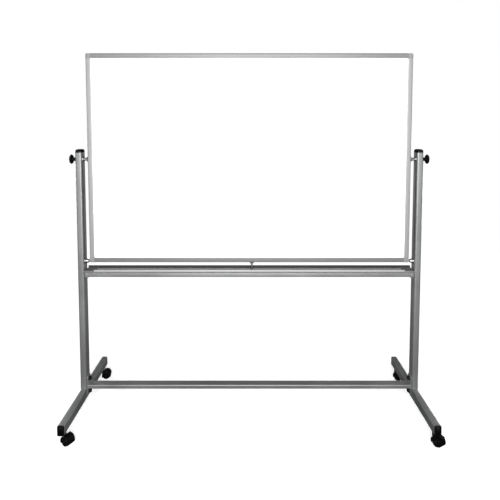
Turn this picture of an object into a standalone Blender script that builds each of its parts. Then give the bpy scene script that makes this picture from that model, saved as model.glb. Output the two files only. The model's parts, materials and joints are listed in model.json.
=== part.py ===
"""Reversible whiteboard hung between two posts of a stand on four twin-wheel casters.

Metres, +Z up. The front faces -Y and X runs along the board. The floor is z = 0, under the
middle of the stand. The board turns about the line through its two pivot shafts.
"""
import math

import bmesh
import bpy
from mathutils import Matrix

# ---------------------------------------------------------------- driving dimensions
GAP = 0.0003                # air kept between separate pieces that touch or fit together

BOARD_WIDTH = 1.524
BOARD_HEIGHT = 0.987
BOARD_DEPTH = 0.020
RAIL_FACE = 0.022           # face width of the board's frame
RAIL_EDGE_RADIUS = 0.005
CORNER_SIDE = 0.0235
CORNER_DEPTH = 0.0206
CORNER_RADIUS = 0.006
CORE_THICKNESS = 0.0094
SHEET_THICKNESS = 0.0004
GROOVE_DEPTH = 0.0070
PANEL_ENTRY = 0.0060        # how far the core reaches into the rails' grooves

PIVOT_Z = 1.213
POST_X = 0.800              # centre plane of each post and foot
POST_WIDTH = 0.030
POST_DEPTH = 0.050
POST_TOP_Z = 1.245
POST_WALL = 0.002
POST_RADIUS = 0.007
CAP_RISE = 0.0155
CAP_FLANGE = 0.0050
CAP_ROUNDING = 0.0085

FOOT_LENGTH = 0.580
FOOT_HEIGHT = 0.0465
FOOT_BOTTOM_Z = 0.0535
FOOT_WALL = 0.002
FOOT_RADIUS = 0.006
FOOT_CAP_FLANGE = 0.003
FOOT_CAP_RISE = 0.0085      # from the tube's end to the tip of the cap's low pyramid
PLUG_LENGTH = 0.012

BAR_DEPTH = 0.041
BAR_HEIGHT = 0.020
BAR_WALL = 0.0015
BAR_RADIUS = 0.004
LOWER_BAR_Z = 0.110
UPPER_BAR_Z = 0.661
END_PLATE_THICKNESS = 0.004
END_PLATE_LOW_Z = 0.066
END_PLATE_HIGH_Z = 0.162
CONNECTOR_LENGTH = 0.0165
CONNECTOR_DEPTH = 0.044
CONNECTOR_LOW_Z = 0.647

TRAY_HALF_LENGTH = 0.736
TRAY_FRONT_Y = -0.028
TRAY_BACK_Y = 0.039
TRAY_UNDER_Z = 0.6765
TRAY_FLOOR_Z = 0.6788
TRAY_LIP_Z = 0.6885
TRAY_BACK_Z = 0.6915
TRAY_LIP_WIDTH = 0.0046
TRAY_STRIP_WIDTH = 0.0050
END_CAP_TOP_Z = 0.6824

KNOB_RADIUS = 0.0225
KNOB_LOBES = 8
KNOB_RIM_X = 0.836
KNOB_END_X = 0.846
SHAFT_RADIUS = 0.0070
THREAD_RADIUS = 0.0050

CATCH_Z = 0.7245
CATCH_TIP_X = 0.7628
CATCH_FLANGE_RADIUS = 0.0145
CATCH_BARREL_RADIUS = 0.0125
CATCH_BORE_RADIUS = 0.0113
CATCH_LIP_RADIUS = 0.0102
CATCH_NOSE_RADIUS = 0.0110

REST_X = 0.012              # the rest stands a little to the right of the middle
REST_TOP_Z = 0.7189
REST_HEAD_RADIUS = 0.0120
REST_STEM_RADIUS = 0.0037

CASTER_INSET = 0.0420       # stem axis from the end of the foot
WHEEL_RADIUS = 0.020
WHEEL_TRAIL = 0.0205        # wheel axle behind the stem axis
WHEEL_HALF_WIDTH = 0.0183
WEB_HALF_WIDTH = 0.0045
HOOD_RADIUS = 0.0236
HOOD_INNER_RADIUS = 0.0214
HOOD_HALF_WIDTH = 0.0198
SOCKET_TOP_Z = 0.0462
SOCKET_RADIUS = 0.0095
STEM_RADIUS = 0.0045
AXLE_RADIUS = 0.0025

# which way each caster's wheels trail, in degrees from +X towards +Y
CASTERS = {
    "front_left": (-1, -1, -29.0, True),
    "front_right": (1, -1, -62.0, True),
    "rear_left": (-1, 1, 11.0, False),
    "rear_right": (1, 1, -62.0, False),
}

# ---------------------------------------------------------------- worked-out values
POST_INNER_X = POST_X - POST_WIDTH / 2
POST_OUTER_X = POST_X + POST_WIDTH / 2
FOOT_TOP_Z = FOOT_BOTTOM_Z + FOOT_HEIGHT
BOARD_HALF_WIDTH = BOARD_WIDTH / 2
BOARD_HALF_HEIGHT = BOARD_HEIGHT / 2
PANEL_HALF_WIDTH = BOARD_HALF_WIDTH - RAIL_FACE + PANEL_ENTRY
PANEL_HALF_HEIGHT = BOARD_HALF_HEIGHT - RAIL_FACE + PANEL_ENTRY
SHEET_HALF_WIDTH = BOARD_HALF_WIDTH - RAIL_FACE - GAP
SHEET_HALF_HEIGHT = BOARD_HALF_HEIGHT - RAIL_FACE - GAP
SHEET_INNER_Y = CORE_THICKNESS / 2 + GAP
SHEET_OUTER_Y = SHEET_INNER_Y + SHEET_THICKNESS
GROOVE_HALF = CORE_THICKNESS / 2 + GAP
CASTER_Y = FOOT_LENGTH / 2 - CASTER_INSET
SIDES = {"left": -1, "right": 1}


# ---------------------------------------------------------------- scene and finishes
def clear_scene():
    for obj in list(bpy.data.objects):
        bpy.data.objects.remove(obj, do_unlink=True)


def finish(name, colour, roughness, metallic):
    """One Principled finish for each kind of surface on the stand."""
    material = bpy.data.materials.get(name) or bpy.data.materials.new(name)
    material.use_nodes = True
    shader = material.node_tree.nodes["Principled BSDF"]
    shader.inputs["Base Color"].default_value = (*colour, 1.0)
    shader.inputs["Roughness"].default_value = roughness
    shader.inputs["Metallic"].default_value = metallic
    return material


def make_finishes():
    return {
        "silver_paint": finish("silver_paint", (0.36, 0.36, 0.36), 0.42, 0.35),
        "silver_aluminium": finish("silver_aluminium", (0.56, 0.56, 0.57), 0.38, 0.80),
        "white_enamel": finish("white_enamel", (0.93, 0.93, 0.93), 0.12, 0.0),
        "fibre_core": finish("fibre_core", (0.45, 0.33, 0.21), 0.85, 0.0),
        "grey_plastic": finish("grey_plastic", (0.27, 0.27, 0.27), 0.50, 0.0),
        "black_plastic": finish("black_plastic", (0.012, 0.012, 0.012), 0.38, 0.0),
        "black_tread": finish("black_tread", (0.020, 0.020, 0.020), 0.62, 0.0),
        "dark_rubber": finish("dark_rubber", (0.040, 0.040, 0.040), 0.70, 0.0),
        "bright_steel": finish("bright_steel", (0.62, 0.62, 0.63), 0.18, 1.0),
        "spring_steel": finish("spring_steel", (0.42, 0.42, 0.43), 0.30, 1.0),
    }


# ---------------------------------------------------------------- shape helpers
def rounded_rectangle(width, height, radius, steps=3):
    """Corner-rounded outline around the origin, counter-clockwise."""
    points = []
    for quarter in range(4):
        sign_x = 1 if quarter in (0, 3) else -1
        sign_y = 1 if quarter in (0, 1) else -1
        centre_x = sign_x * (width / 2 - radius)
        centre_y = sign_y * (height / 2 - radius)
        for step in range(steps + 1):
            angle = math.pi / 2 * (quarter + step / steps)
            points.append((centre_x + radius * math.cos(angle), centre_y + radius * math.sin(angle)))
    return points


def bridge_rings(bm, lower, upper):
    count = len(lower)
    for index in range(count):
        follow = (index + 1) % count
        bm.faces.new((lower[index], lower[follow], upper[follow], upper[index]))


def lofted(sections):
    """Closed solid through outlines of equal point count, given as (outline, z)."""
    bm = bmesh.new()
    rings = [[bm.verts.new((x, y, z)) for x, y in outline] for outline, z in sections]
    for lower, upper in zip(rings, rings[1:]):
        bridge_rings(bm, lower, upper)
    bm.faces.new(list(reversed(rings[0])))
    bm.faces.new(rings[-1])
    return bm


def prism(outline, low, high):
    return lofted([(outline, low), (outline, high)])


def tube(outer, inner, low, high):
    """Open-ended tube along local Z; outer and inner have the same point count."""
    bm = bmesh.new()
    rings = []
    for outline, z in ((outer, low), (outer, high), (inner, high), (inner, low)):
        rings.append([bm.verts.new((x, y, z)) for x, y in outline])
    for index, ring in enumerate(rings):
        bridge_rings(bm, ring, rings[(index + 1) % len(rings)])
    return bm


def turned(profile, segments=24, hollow=False):
    """Profile of (radius, z) turned about local Z.

    A solid profile starts and ends on the axis; a hollow one is a closed loop off the axis.
    """
    bm = bmesh.new()
    rings = []
    for radius, z in profile:
        if radius == 0:
            rings.append([bm.verts.new((0, 0, z))])
            continue
        ring = []
        for step in range(segments):
            angle = 2 * math.pi * step / segments
            ring.append(bm.verts.new((radius * math.cos(angle), radius * math.sin(angle), z)))
        rings.append(ring)
    pairs = list(zip(rings, rings[1:]))
    if hollow:
        pairs.append((rings[-1], rings[0]))
    for lower, upper in pairs:
        for step in range(segments):
            follow = (step + 1) % segments
            if len(lower) == 1:
                bm.faces.new((lower[0], upper[follow], upper[step]))
            elif len(upper) == 1:
                bm.faces.new((lower[step], lower[follow], upper[0]))
            else:
                bm.faces.new((lower[step], lower[follow], upper[follow], upper[step]))
    return bm


def box(low, high):
    bm = bmesh.new()
    bmesh.ops.create_cube(bm, size=1.0)
    for vert in bm.verts:
        for axis in range(3):
            share = vert.co[axis] + 0.5
            vert.co[axis] = low[axis] + share * (high[axis] - low[axis])
    return bm


def along_x(bm):
    """Lays a shape made along Z down along X, its outline's x to Y and its y to Z."""
    turn = Matrix(((0, 0, 1), (1, 0, 0), (0, 1, 0))).to_4x4()
    bmesh.ops.transform(bm, matrix=turn, verts=bm.verts)
    return bm


def along_y(bm):
    """Lays a shape made along Z down along Y, its outline's x to X and its y to Z."""
    turn = Matrix(((1, 0, 0), (0, 0, 1), (0, 1, 0))).to_4x4()
    bmesh.ops.transform(bm, matrix=turn, verts=bm.verts)
    return bm


def mirrored_x(bm):
    bmesh.ops.scale(bm, vec=(-1, 1, 1), verts=bm.verts)
    return bm


def piece(name, bm, material, location=(0, 0, 0), parent=None):
    """Turns a bmesh into a named, shaded object at its place."""
    bmesh.ops.recalc_face_normals(bm, faces=bm.faces)
    mesh = bpy.data.meshes.new(name)
    bm.to_mesh(mesh)
    bm.free()
    mesh.materials.append(material)
    mesh.shade_smooth()
    mesh.set_sharp_from_angle(angle=math.radians(32))
    return place_mesh(name, mesh, location, parent)


def place_mesh(name, mesh, location, parent=None):
    obj = bpy.data.objects.new(name, mesh)
    bpy.context.scene.collection.objects.link(obj)
    obj.location = location
    obj.parent = parent
    return obj


def hidden_tool(name, bm, location=(0, 0, 0), parent=None):
    """A cutter or a part of a union: it is never a piece of its own."""
    bmesh.ops.recalc_face_normals(bm, faces=bm.faces)
    mesh = bpy.data.meshes.new(name)
    bm.to_mesh(mesh)
    bm.free()
    obj = place_mesh(name, mesh, location, parent)
    obj.hide_render = True
    obj.display_type = "WIRE"
    return obj


def combine(target, tool, operation):
    modifier = target.modifiers.new(tool.name, "BOOLEAN")
    modifier.operation = operation
    modifier.object = tool
    modifier.solver = "EXACT"


def cut(target, name, bm, location=(0, 0, 0)):
    combine(target, hidden_tool(name, bm, location, target.parent), "DIFFERENCE")


def join(target, name, bm, location=(0, 0, 0)):
    combine(target, hidden_tool(name, bm, location, target.parent), "UNION")


def rod(radius, low, high, segments=20):
    return turned([(0, low), (radius, low), (radius, high), (0, high)], segments)


def empty(name, location, yaw=0.0):
    obj = bpy.data.objects.new(name, None)
    bpy.context.scene.collection.objects.link(obj)
    obj.location = location
    obj.rotation_euler = (0, 0, yaw)
    return obj


def coil(name, material, radius, wire, turns, length, location):
    """Compression spring starting at its location and running along X."""
    curve = bpy.data.curves.new(name, "CURVE")
    curve.dimensions = "3D"
    curve.bevel_depth = wire / 2
    curve.bevel_resolution = 1
    curve.use_fill_caps = True
    steps = 12
    spline = curve.splines.new("POLY")
    spline.points.add(int(turns * steps))
    for index, point in enumerate(spline.points):
        angle = 2 * math.pi * index / steps
        rise = wire / 2 + (length - wire) * index / (turns * steps)
        point.co = (rise, radius * math.cos(angle), radius * math.sin(angle), 1.0)
    curve.materials.append(material)
    obj = bpy.data.objects.new(name, curve)
    bpy.context.scene.collection.objects.link(obj)
    obj.location = location
    return obj


# ---------------------------------------------------------------- the stand
def post(side, sign, finishes):
    """Upright tube, drilled for the pivot bushing, the side catch and the crossbar's bolt."""
    outer = rounded_rectangle(POST_WIDTH, POST_DEPTH, POST_RADIUS)
    inner = rounded_rectangle(POST_WIDTH - 2 * POST_WALL, POST_DEPTH - 2 * POST_WALL,
                              POST_RADIUS - POST_WALL)
    bottom = FOOT_TOP_Z + GAP
    obj = piece(f"post_{side}", tube(outer, inner, 0, POST_TOP_Z - bottom),
                finishes["silver_paint"], (sign * POST_X, 0, bottom))
    cut(obj, f"pivot_drill_{side}", along_x(rod(0.0113, -0.03, 0.03, 28)),
        (sign * POST_X, 0, PIVOT_Z))
    inner_wall = (-sign * POST_WIDTH / 2 - 0.005, -sign * POST_WIDTH / 2 + 0.005)
    for name, radius, z in (("catch_drill", CATCH_BARREL_RADIUS + GAP, CATCH_Z),
                            ("bolt_drill", 0.0043, POST_BOLT_Z)):
        cut(obj, f"{name}_{side}", along_x(rod(radius, *inner_wall, 28)),
            (sign * POST_X, 0, z))
    return obj


def plug_sections(width, depth, radius, wall, flange):
    """Outlines of a cap's lower half: the plug inside the tube, then a flush flange."""
    plug_width = width - 2 * wall - 2 * GAP
    plug_depth = depth - 2 * wall - 2 * GAP
    plug_radius = radius - wall
    sections = [(rounded_rectangle(plug_width, plug_depth, plug_radius), -PLUG_LENGTH)]
    sections.append((rounded_rectangle(plug_width, plug_depth, plug_radius), GAP))
    sections.append((rounded_rectangle(width, depth, radius), GAP))
    sections.append((rounded_rectangle(width, depth, radius), flange))
    return sections


def post_cap(side, sign, finishes):
    """Domed cap, rounded over towards its top."""
    sections = plug_sections(POST_WIDTH, POST_DEPTH, POST_RADIUS, POST_WALL, CAP_FLANGE)
    steps = 4
    for step in range(1, steps + 1):
        angle = math.pi / 2 * step / steps
        inset = CAP_ROUNDING * (1 - math.cos(angle))
        outline = rounded_rectangle(POST_WIDTH - 2 * inset, POST_DEPTH - 2 * inset,
                                    POST_RADIUS - 0.5 * inset)
        sections.append((outline, CAP_FLANGE + (CAP_RISE - CAP_FLANGE) * math.sin(angle)))
    return piece(f"post_cap_{side}", lofted(sections), finishes["black_plastic"],
                 (sign * POST_X, 0, POST_TOP_Z))


def foot(side, sign, finishes):
    """Floor tube, drilled underneath for the caster stems and inside for the plate's bolt."""
    outer = rounded_rectangle(POST_WIDTH, FOOT_HEIGHT, FOOT_RADIUS)
    inner = rounded_rectangle(POST_WIDTH - 2 * FOOT_WALL, FOOT_HEIGHT - 2 * FOOT_WALL,
                              FOOT_RADIUS - FOOT_WALL)
    half = FOOT_LENGTH / 2 - FOOT_CAP_RISE
    middle_z = FOOT_BOTTOM_Z + FOOT_HEIGHT / 2
    obj = piece(f"foot_{side}", along_y(tube(outer, inner, -half, half)),
                finishes["silver_paint"], (sign * POST_X, 0, middle_z))
    for end, toward in (("front", -1), ("rear", 1)):
        cut(obj, f"stem_drill_{end}_{side}", rod(STEM_RADIUS + GAP, -0.01, 0.01),
            (sign * POST_X, toward * CASTER_Y, FOOT_BOTTOM_Z))
    inner_wall = (-sign * POST_WIDTH / 2 - 0.005, -sign * POST_WIDTH / 2 + 0.005)
    cut(obj, f"foot_bolt_drill_{side}", along_x(rod(0.0043, *inner_wall)),
        (sign * POST_X, 0, FOOT_BOLT_Z))
    return obj


def foot_cap(end, toward, side, sign, finishes):
    """Cap with a low four-sided pyramid inside a narrow rim."""
    sections = plug_sections(POST_WIDTH, FOOT_HEIGHT, FOOT_RADIUS, FOOT_WALL, FOOT_CAP_FLANGE)
    rim = rounded_rectangle(POST_WIDTH - 0.003, FOOT_HEIGHT - 0.003, FOOT_RADIUS - 0.0015)
    tip = rounded_rectangle(0.0016, 0.0022, 0.0006)
    sections += [(rim, FOOT_CAP_FLANGE + 0.0002), (tip, FOOT_CAP_RISE)]
    bm = along_y(lofted(sections))
    bmesh.ops.scale(bm, vec=(1, toward, 1), verts=bm.verts)
    y = toward * (FOOT_LENGTH / 2 - FOOT_CAP_RISE)
    return piece(f"foot_cap_{end}_{side}", bm, finishes["black_plastic"],
                 (sign * POST_X, y, FOOT_BOTTOM_Z + FOOT_HEIGHT / 2))


def bar_solid(half_length):
    outline = rounded_rectangle(BAR_DEPTH, BAR_HEIGHT, BAR_RADIUS)
    return along_x(prism(outline, -half_length, half_length))


def bore_bar(obj, name, bar_z):
    """Opens the bar from end to end, through whatever is welded on its ends."""
    outline = rounded_rectangle(BAR_DEPTH - 2 * BAR_WALL, BAR_HEIGHT - 2 * BAR_WALL,
                                BAR_RADIUS - BAR_WALL)
    cut(obj, name, along_x(prism(outline, -POST_X, POST_X)), (0, 0, bar_z))


def lower_crossbar(finishes):
    """Tube with a welded plate at each end that bolts to a post and to a foot."""
    plate_outer = POST_INNER_X - GAP
    plate_inner = plate_outer - END_PLATE_THICKNESS
    obj = piece("lower_crossbar", bar_solid(plate_inner + 0.001), finishes["silver_paint"],
                (0, 0, LOWER_BAR_Z))
    height = END_PLATE_HIGH_Z - END_PLATE_LOW_Z
    middle = (END_PLATE_HIGH_Z + END_PLATE_LOW_Z) / 2
    for side, sign in SIDES.items():
        outline = rounded_rectangle(BAR_DEPTH, height, 0.010)
        span = sorted((sign * plate_inner, sign * plate_outer))
        join(obj, f"end_plate_{side}", along_x(prism(outline, *span)), (0, 0, middle))
        for level, z in (("post", POST_BOLT_Z), ("foot", FOOT_BOLT_Z)):
            span = sorted((sign * (plate_inner - 0.002), sign * (plate_outer + 0.002)))
            cut(obj, f"{level}_plate_drill_{side}", along_x(rod(0.0043, *span)), (0, 0, z))
    bore_bar(obj, "lower_bar_bore", LOWER_BAR_Z)
    return obj


def plate_bolt(level, z, side, sign, finishes):
    """Domed black cap screw through the end plate into the tube behind it."""
    seat = POST_INNER_X - GAP - END_PLATE_THICKNESS - GAP
    profile = [(0, 0.010), (0.0055, 0.0093), (0.0085, 0.0065), (0.0095, 0.003), (0.0095, 0.0),
               (0.004, 0.0), (0.004, -0.015), (0, -0.015)]
    bm = along_x(turned(profile, 20))
    if sign > 0:
        mirrored_x(bm)
    return piece(f"{level}_bolt_{side}", bm, finishes["black_plastic"], (sign * seat, 0, z))


def upper_crossbar(finishes):
    """Tube under the pen tray, with a welded block at each end against the post."""
    block_outer = POST_INNER_X - GAP
    block_inner = block_outer - CONNECTOR_LENGTH
    obj = piece("upper_crossbar", bar_solid(block_inner + 0.002), finishes["silver_paint"],
                (0, 0, UPPER_BAR_Z))
    top = UPPER_BAR_Z + BAR_HEIGHT / 2
    outline = rounded_rectangle(CONNECTOR_DEPTH, top - CONNECTOR_LOW_Z, 0.004)
    for side, sign in SIDES.items():
        span = sorted((sign * block_inner, sign * block_outer))
        join(obj, f"connector_{side}", along_x(prism(outline, *span)),
             (0, 0, (top + CONNECTOR_LOW_Z) / 2))
    bore_bar(obj, "upper_bar_bore", UPPER_BAR_Z)
    cut(obj, "rest_drill_bar", rod(0.0073, 0.005, 0.015), (REST_X, 0, UPPER_BAR_Z))
    return obj


def pen_tray(finishes):
    """Flat tray floor on two legs that stand on the crossbar."""
    under, floor, legs = TRAY_UNDER_Z, TRAY_FLOOR_Z, UPPER_BAR_Z + BAR_HEIGHT / 2 + GAP
    front = TRAY_FRONT_Y + TRAY_LIP_WIDTH + GAP
    back = TRAY_BACK_Y - TRAY_STRIP_WIDTH - GAP
    section = [
        (front, under), (front, floor), (back, floor), (back, under), (0.0120, under), (0.0120, legs), (0.0095, legs), (0.0095, under),
        (-0.0095, under), (-0.0095, legs), (-0.0120, legs), (-0.0120, under),
    ]
    obj = piece("pen_tray", along_x(prism(section, -TRAY_HALF_LENGTH, TRAY_HALF_LENGTH)),
                finishes["silver_aluminium"])
    cut(obj, "rest_drill_tray", rod(0.0073, TRAY_UNDER_Z - 0.002, TRAY_FLOOR_Z + 0.002),
        (REST_X, 0, 0))
    return obj


def tray_front_lip(finishes):
    """Front wall of the tray, rounded over its top."""
    front, low, top = TRAY_FRONT_Y, TRAY_UNDER_Z, TRAY_LIP_Z
    width, radius = TRAY_LIP_WIDTH, TRAY_LIP_WIDTH / 2
    section = [(front + 0.0010, low), (front, low + 0.0010)]
    for step in range(9):
        angle = math.pi * (1 - step / 8)
        section.append((front + radius * (1 + math.cos(angle)), top - radius * (1 - math.sin(angle))))
    section.append((front + width, low))
    bm = along_x(prism(section, -TRAY_HALF_LENGTH, TRAY_HALF_LENGTH))
    return piece("tray_front_lip", bm, finishes["silver_aluminium"])


def tray_buffer_strip(finishes):
    """Low rubber-faced wall along the tray's back edge, from post to post."""
    front, low, top = TRAY_BACK_Y - TRAY_STRIP_WIDTH, TRAY_UNDER_Z, TRAY_BACK_Z
    section = [(front, low), (TRAY_BACK_Y, low), (TRAY_BACK_Y, top - 0.0010),
               (TRAY_BACK_Y - 0.0010, top), (front + 0.0010, top), (front, top - 0.0010)]
    reach = POST_INNER_X - GAP
    bm = along_x(prism(section, -reach, reach))
    return piece("tray_buffer_strip", bm, finishes["dark_rubber"])


def tray_end_cap(side, sign, finishes):
    """Moulded step that closes the tray's end and carries it to the post."""
    low = UPPER_BAR_Z + BAR_HEIGHT / 2 + GAP
    back = TRAY_BACK_Y - TRAY_STRIP_WIDTH - GAP
    section = [
        (TRAY_FRONT_Y + 0.0055, low), (TRAY_FRONT_Y + 0.0040, low + 0.0015),
        (TRAY_FRONT_Y + 0.0040, END_CAP_TOP_Z - 0.003),
        (TRAY_FRONT_Y + 0.0070, END_CAP_TOP_Z), (back, END_CAP_TOP_Z), (back, low),
    ]
    span = sorted((sign * (TRAY_HALF_LENGTH + GAP), sign * (POST_INNER_X - GAP)))
    return piece(f"tray_end_cap_{side}", along_x(prism(section, *span)), finishes["grey_plastic"])


def pivot_bushing(side, sign, finishes):
    """Flanged sleeve in the post that the pivot shaft turns in."""
    bore = SHAFT_RADIUS + GAP
    profile = [(bore, -0.0030 - GAP), (0.0135, -0.0030 - GAP), (0.0145, -0.0020), (0.0145, -GAP),
               (0.0110, -GAP), (0.0110, POST_WIDTH + 0.0008), (bore, POST_WIDTH + 0.0008)]
    bm = along_x(turned(profile, 28, hollow=True))
    if sign < 0:
        mirrored_x(bm)
    return piece(f"pivot_bushing_{side}", bm, finishes["bright_steel"],
                 (sign * POST_INNER_X, 0, PIVOT_Z))


# ---------------------------------------------------------------- the board
def board_core(finishes, pivot):
    low = (-PANEL_HALF_WIDTH, -CORE_THICKNESS / 2, -PANEL_HALF_HEIGHT)
    high = (PANEL_HALF_WIDTH, CORE_THICKNESS / 2, PANEL_HALF_HEIGHT)
    return piece("board_core", box(low, high), finishes["fibre_core"], parent=pivot)


def writing_sheet(face, toward, finishes, pivot):
    """Skin that fills the frame's opening, notched where the corner pieces reach in."""
    notch = CORNER_SIDE - RAIL_FACE
    near, far = sorted((toward * SHEET_INNER_Y, toward * SHEET_OUTER_Y))
    across, up = SHEET_HALF_WIDTH, SHEET_HALF_HEIGHT
    outline = []
    for sign_x, sign_z in ((1, -1), (1, 1), (-1, 1), (-1, -1)):
        steps = [(across - notch, up), (across - notch, up - notch), (across, up - notch)]
        if sign_x == sign_z:
            steps.reverse()
        outline += [(sign_x * x, sign_z * z) for x, z in steps]
    bm = along_y(prism(outline, near, far))
    return piece(f"writing_sheet_{face}", bm, finishes["white_enamel"], parent=pivot)


def rail_section():
    """Frame profile as (y, out): rounded outer edges and a groove that holds the panel."""
    half = BOARD_DEPTH / 2
    radius = RAIL_EDGE_RADIUS
    points = []
    for start in (0, 1):
        centre = (half - radius) * (1 if start == 0 else -1)
        for step in range(4):
            angle = math.pi / 2 * (start + step / 3)
            points.append((centre + radius * math.cos(angle),
                           RAIL_FACE - radius + radius * math.sin(angle)))
    bevel = 0.0010
    points += [(-half, bevel), (-half + bevel, 0), (-GROOVE_HALF, 0), (-GROOVE_HALF, GROOVE_DEPTH),
               (GROOVE_HALF, GROOVE_DEPTH), (GROOVE_HALF, 0), (half - bevel, 0), (half, bevel)]
    return points


def level_rail(name, sign, finishes, pivot):
    """Top or bottom rail; sign is +1 for the top."""
    half = BOARD_HALF_WIDTH - CORNER_SIDE - GAP
    inner = BOARD_HALF_HEIGHT - RAIL_FACE
    section = [(y, sign * (inner + out)) for y, out in rail_section()]
    return piece(name, along_x(prism(section, -half, half)), finishes["silver_aluminium"],
                 parent=pivot)


def upright_rail(name, sign, finishes, pivot):
    half = BOARD_HALF_HEIGHT - CORNER_SIDE - GAP
    inner = BOARD_HALF_WIDTH - RAIL_FACE
    section = [(sign * (inner + out), y) for y, out in rail_section()]
    return piece(name, prism(section, -half, half), finishes["silver_aluminium"], parent=pivot)


def frame_corner(name, sign_x, sign_z, finishes, pivot):
    """Moulded corner with a slot that takes the corner of the panel."""
    half = CORNER_SIDE / 2
    outline = [(-half, -half), (half, -half)]
    for step in range(5):
        angle = math.pi / 2 * step / 4
        outline.append((half - CORNER_RADIUS + CORNER_RADIUS * math.cos(angle),
                        half - CORNER_RADIUS + CORNER_RADIUS * math.sin(angle)))
    outline.append((-half, half))
    bm = along_y(prism(outline, -CORNER_DEPTH / 2, CORNER_DEPTH / 2))
    bmesh.ops.scale(bm, vec=(sign_x, 1, sign_z), verts=bm.verts)
    centre = (sign_x * (BOARD_HALF_WIDTH - half), 0, sign_z * (BOARD_HALF_HEIGHT - half))
    obj = piece(name, bm, finishes["grey_plastic"], centre, pivot)
    slot_low = (-CORNER_SIDE, -GROOVE_HALF, -CORNER_SIDE)
    reach = PANEL_HALF_WIDTH - (BOARD_HALF_WIDTH - half) + GAP
    slot = box(slot_low, (reach, GROOVE_HALF, reach))
    bmesh.ops.scale(slot, vec=(sign_x, 1, sign_z), verts=slot.verts)
    cut(obj, f"{name}_slot", slot, centre)
    return obj


def pivot_shaft(side, sign, finishes, pivot):
    """Shaft with a flange on the side rail and a threaded end outside the post."""
    flange_face = BOARD_HALF_WIDTH + GAP
    journal_end = POST_OUTER_X + 0.0020
    profile = [(0, flange_face), (0.0120, flange_face), (0.0120, flange_face + 0.0020),
               (0.0110, flange_face + 0.0030), (SHAFT_RADIUS, flange_face + 0.0030),
               (SHAFT_RADIUS, journal_end), (THREAD_RADIUS, journal_end),
               (THREAD_RADIUS, KNOB_END_X - 0.0055), (0, KNOB_END_X - 0.0055)]
    bm = along_x(turned(profile, 24))
    if sign < 0:
        mirrored_x(bm)
    return piece(f"pivot_shaft_{side}", bm, finishes["bright_steel"], parent=pivot)


def lobed_outline(radius, lobes, depth, steps):
    points = []
    for step in range(steps):
        angle = 2 * math.pi * step / steps
        reach = radius - depth * (1 - math.cos(lobes * angle)) / 2
        points.append((reach * math.cos(angle), reach * math.sin(angle)))
    return points


def clamp_knob(side, sign, finishes, pivot):
    """Lobed hand knob on the shaft's thread; its hub clamps against the post."""
    steps = KNOB_LOBES * 6
    full = lobed_outline(KNOB_RADIUS, KNOB_LOBES, 0.0022, steps)
    eased = lobed_outline(KNOB_RADIUS - 0.0018, KNOB_LOBES, 0.0020, steps)
    crown = lobed_outline(KNOB_RADIUS - 0.0070, KNOB_LOBES, 0.0006, steps)
    sections = [(eased, KNOB_RIM_X), (full, KNOB_RIM_X + 0.0018), (full, KNOB_END_X - 0.0035),
                (eased, KNOB_END_X - 0.0015), (crown, KNOB_END_X)]
    bm = along_x(lofted(sections))
    if sign < 0:
        mirrored_x(bm)
    obj = piece(f"clamp_knob_{side}", bm, finishes["black_plastic"], parent=pivot)
    hub_start = POST_OUTER_X + 0.0026
    hub = along_x(turned([(0, hub_start), (0.0085, hub_start), (0.0090, KNOB_RIM_X + 0.003),
                          (0, KNOB_RIM_X + 0.003)], 24))
    bore = along_x(rod(THREAD_RADIUS + GAP, hub_start - 0.002, KNOB_END_X - 0.0045))
    if sign < 0:
        mirrored_x(hub)
        mirrored_x(bore)
    join(obj, f"knob_hub_{side}", hub)
    cut(obj, f"knob_bore_{side}", bore)
    return obj


# ---------------------------------------------------------------- the catches
def side_catch_housing(side, sign, finishes):
    """Flanged cup let into the post's inner face, with a lip that keeps its nose in."""
    mouth = -0.0030 - GAP
    profile = [(0, 0.0210), (CATCH_BORE_RADIUS, 0.0210), (CATCH_BORE_RADIUS, mouth + 0.0012),
               (CATCH_LIP_RADIUS, mouth + 0.0012), (CATCH_LIP_RADIUS, mouth), (0.0135, mouth),
               (CATCH_FLANGE_RADIUS, -0.0018), (CATCH_FLANGE_RADIUS, -GAP),
               (CATCH_BARREL_RADIUS, -GAP), (CATCH_BARREL_RADIUS, 0.0225), (0, 0.0225)]
    bm = along_x(turned(profile, 28))
    if sign < 0:
        mirrored_x(bm)
    return piece(f"side_catch_housing_{side}", bm, finishes["bright_steel"],
                 (sign * POST_INNER_X, 0, CATCH_Z))


def side_catch_nose(side, sign, finishes):
    """Sprung bullet nose that bears on the side of the board's frame."""
    length = POST_INNER_X - CATCH_TIP_X
    neck = CATCH_LIP_RADIUS - GAP
    profile = [(0, -length), (0.0022, -length + 0.0003), (0.0042, -length + 0.0014),
               (0.0060, -length + 0.0035), (0.0090, -length + 0.0085), (neck, -0.0050),
               (neck, -0.0018), (CATCH_NOSE_RADIUS, -0.0018), (CATCH_NOSE_RADIUS, 0.0060),
               (0, 0.0060)]
    bm = along_x(turned(profile, 28))
    if sign < 0:
        mirrored_x(bm)
    return piece(f"side_catch_nose_{side}", bm, finishes["bright_steel"],
                 (sign * POST_INNER_X, 0, CATCH_Z))


def side_catch_spring(side, sign, finishes):
    low = POST_INNER_X + 0.0060 + GAP
    high = POST_INNER_X + 0.0210 - GAP
    start = low if sign > 0 else -high
    return coil(f"side_catch_spring_{side}", finishes["spring_steel"], 0.0080, 0.0012, 4,
                high - low, (start, 0, CATCH_Z))


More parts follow.
